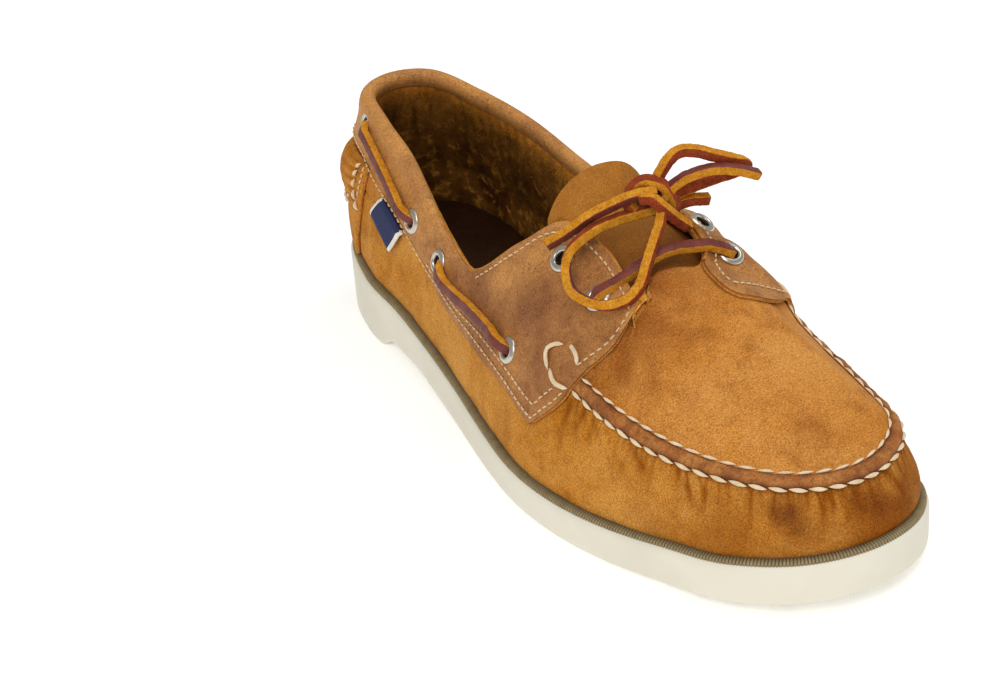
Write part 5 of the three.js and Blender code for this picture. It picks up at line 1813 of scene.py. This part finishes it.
    def bow(self) -> None:
        """Knot, two loops and two cut ends."""
        stub, _ = self.run([(-10.5, 37.2, 93.6), (-15.5, 36.6, 94.3), (-20, 37.3, 94.6),
                            (-26.5, 38.2, 93.3)], [-140] * 4)
        piece = stub.build("lace_knot_tuck", self.materials(), self.form, slot="rawhide")
        self.free("lace_knot_wrap", "lace_knot",
                  [(1.6, 35.5, 95.5), (2.8, 34.5, 99.5), (1.4, 34.5, 103.6), (-0.9, 36, 106.3),
                   (-3.4, 38.6, 107.0), (-6.6, 41, 105.2),
                   (-9.4, 41.2, 101.0), (-11.4, 40.5, 96.5), (-12.0, 38, 93)], [130] * 9, "object",
                   (piece,))
        front, _ = self.run([(1.5, 39.5, 102.5), (-1.0, 42.6, 102.6), (-3.6, 44.2, 99.6),
                             (-8.6, 44.2, 94.2), (-14.4, 43.0, 88.6)], [-140] * 5)
        front.build("lace_knot_front", self.materials(), self.form, slot="rawhide")
        self.free("lace_loop_near", "lace_loop_outer",
                  [(-6.5, 39.0, 96.8), (-1.5, 37.2, 96.0), (5.4, 35.0, 95.2), (13.9, 33.5, 93.9),
                   (21.9, 33.5, 91.3), (27.4, 35.0, 88.5), (31.3, 39.0, 85.0),
                   (34.0, 46.5, 82.0), (32.6, 54.0, 80.4), (28.2, 59.0, 79.8), (21.6, 60.3, 80.4),
                   (15.6, 58.6, 82.9), (10.2, 55.0, 87.2),
                   (4.3, 50.5, 91.4), (-1.9, 45.6, 95.0), (-5.6, 41.6, 98.6)],
                  [-120, -120, -120, -118, -112, -98, -82, -75, -85, -100, -112, -115, -115, -115,
                   -115, -115], "object")
        self.free("lace_loop_far", "lace_loop_inner",
                  [(-4.2, 37.0, 101.0), (-5.6, 37.6, 104.6), (-7.7, 38.4, 108.8),
                   (-10.7, 39.0, 112.6), (-14.5, 40.0, 114.8), (-19.8, 41.5, 113.9),
                   (-25.1, 43.0, 111.5), (-31.5, 44.2, 108.5), (-37.4, 43.8, 105.3),
                   (-39.2, 41.9, 102.6), (-35.6, 40.2, 101.0),
                   (-29.3, 39.0, 100.4), (-22.4, 38.0, 99.6), (-13.6, 37.0, 98.6),
                   (-8.0, 36.8, 98.0)],
                  [-120, -120, -122, -128, -138, -140, -140, -140, -160, -180, -190, -190, -190,
                   -190, -190], "object")
        self.free("lace_end_near", "lace_end_outer",
                  [(-3.6, 41.2, 103.6), (0.8, 39.2, 103.6), (6.6, 35.6, 101.6), (15.4, 30.5, 96.9),
                   (22.6, 26.4, 91.4), (29.5, 24.2, 88.2)],
                  [-60] * 6, "bare")
        self.free("lace_end_far", "lace_end_inner",
                  [(-6.4, 40.0, 100.4), (-8.9, 41.2, 103.2), (-12.8, 43.2, 106.4),
                   (-19.5, 45.2, 108.0), (-26.1, 47.0, 107.6), (-33.0, 48.6, 105.4),
                   (-39.0, 49.2, 102.4)],
                  [-60] * 7, "bare")


@dataclass
class SideTag:
    """Folded woven tape, left bare, with a white band at each end."""

    form: LastForm
    finishes: Finishes

    def build(self) -> None:
        """A thin slab that stands a little off the wall."""
        f = self.form
        rear_top, rear_low = (2.54, 0.538), (2.3, 0.387)
        front_low, front_top = (2.83, 0.277), (3.12, 0.429)
        s = np.linspace(0, 1, 41)[None, :]
        t = np.linspace(0, 1, 13)[:, None]
        a = np.array
        place = ((1 - s)[..., None] * ((1 - t)[..., None] * a(rear_low) + t[..., None] * a(rear_top))
                 + s[..., None] * ((1 - t)[..., None] * a(front_low) + t[..., None] * a(front_top)))
        u, v = place[..., 0] / STATIONS, place[..., 1]
        lift = 1.5 + 0.8 * (1 - t) * np.ones_like(s) - 0.5 * (t > 0.9)
        edge = 0.35 * (np.clip((np.abs(2 * s - 1) - 0.93) / 0.07, 0, 1)
                       + np.clip((0.1 - t) / 0.1, 0, 1))
        out, inn = f.offset(u, v, lift + 0.9 - edge), f.offset(u, v, lift - 0.3 + edge)
        r, c = u.shape
        column = np.tile(np.arange(c - 1), r - 1)
        white = ((column < 3) | (column >= c - 4)).astype(int)
        edge_column = sheet_rim(r, c)[:, 1]
        ring_white = ((edge_column < 3) | (edge_column >= c - 4)).astype(int)
        sheet(out, inn, [white, white, ring_white], {}).build(
            "side_tape", [self.finishes.tape, self.finishes.tape_end], f, "side_tag",
            slot="tag_cloth")


@dataclass
class Studio:
    """White sweep, large soft lights and the camera."""

    form: LastForm
    finishes: Finishes
    target: tuple = (31.69, -8.67, 40.0)
    back: tuple = (0.4206, 0.7698, 0.4801)
    distance: float = 750.0
    roll: float = -4.87
    lens: float = 76.57

    def floor(self) -> None:
        """The floor under the sole."""
        mesh = bpy.data.meshes.new("white_floor")
        w = 6.0
        mesh.from_pydata([(-w, -w, 0), (w, -w, 0), (w, w, 0), (-w, w, 0)], [], [(0, 1, 2, 3)])
        mesh.materials.append(self.finishes.floor)
        floor = bpy.data.objects.new("white_floor", mesh)
        bpy.context.scene.collection.objects.link(floor)

    def light(self, name: str, place: tuple, aim: tuple, size: float, power: float,
              colour: tuple) -> None:
        """One square soft light.

        Args:
            name: the lamp's name.
            place: where it hangs, in m.
            aim: what it points at.
            size: its side in m.
            power: watts.
            colour: linear RGB.
        """
        data = bpy.data.lights.new(name, "AREA")
        data.shape, data.size, data.energy, data.color = "SQUARE", size, power, colour
        lamp = bpy.data.objects.new(name, data)
        lamp.location = place
        lamp.rotation_mode = "QUATERNION"
        lamp.rotation_quaternion = (Vector(aim) - Vector(place)).to_track_quat("-Z", "Y")
        bpy.context.scene.collection.objects.link(lamp)

    def build(self) -> None:
        """Floor, lights, sky and camera."""
        self.floor()
        scene = bpy.context.scene
        scene.view_settings.view_transform = "Standard"
        world = bpy.data.worlds.new("white_studio")
        world.use_nodes = True
        world.node_tree.nodes["Background"].inputs["Color"].default_value = (1.0, 0.995, 0.985, 1.0)
        world.node_tree.nodes["Background"].inputs["Strength"].default_value = 0.42
        scene.world = world
        shoe = (0.0, 0.0, 0.04)
        self.light("key_softbox", (0.9, 0.9, 1.3), shoe, 0.9, 13, (1.0, 0.98, 0.95))
        self.light("top_softbox", (-0.5, 0.1, 1.6), shoe, 1.2, 11, (1.0, 0.99, 0.98))
        data = bpy.data.cameras.new("camera")
        data.lens, data.sensor_width = self.lens, 36.0
        data.clip_start, data.clip_end = 0.05, 30
        camera = bpy.data.objects.new("camera", data)
        back = Vector(self.back).normalized()
        right0 = Vector((0, 0, 1)).cross(back).normalized()
        up0 = back.cross(right0)
        r = math.radians(self.roll)
        right = right0 * math.cos(r) + up0 * math.sin(r)
        up = back.cross(right)
        turn = Matrix((right, up, back)).transposed()
        place = (Vector(self.target) + Vector(tuple(self.form.shift))
                 + back * self.distance) / MM_PER_M
        camera.matrix_world = Matrix.Translation(place) @ turn.to_4x4()
        scene.collection.objects.link(camera)
        scene.camera = camera


def main() -> None:
    """Builds every part of the shoe in the order a maker would, then the studio."""
    logging.basicConfig(level=logging.INFO, format="%(name)s %(message)s")
    form, finishes = LastForm(), Finishes()
    sole = SoleUnit(form, finishes)
    sole.outsole()
    sole.ribbed_strip()
    sole.footbed()
    upper = UpperShell(form, finishes)
    upper.vamp()
    upper.apron()
    upper.lining()
    upper.nap()
    heel = HeelWork(form, finishes)
    heel.counter()
    heel.pad()
    heel.threads()
    quarters = Quarters(form, finishes)
    quarters.sheet(LATERAL)
    quarters.sheet(MEDIAL)
    quarters.rows()
    seam = ApronSeam(form, finishes)
    seam.band()
    seam.threads()
    Tongue(form, finishes).build()
    EyeletRings(form, finishes).build()
    lace = RawhideLace(form, finishes)
    lace.side("side_lace_outer_rear", "side_lace_lateral_rear", "lateral_1", "lateral_2")
    lace.side("side_lace_outer_front", "side_lace_lateral_front", "lateral_3", "lateral_4")
    lace.side("side_lace_inner_rear", "side_lace_medial_rear", "medial_1", "medial_2")
    lace.side("side_lace_inner_front", "side_lace_medial_front", "medial_3", "medial_4")
    lace.bar()
    lace.bow()
    SideTag(form, finishes).build()
    Studio(form, finishes).build()


if __name__ == "__main__":
    main()
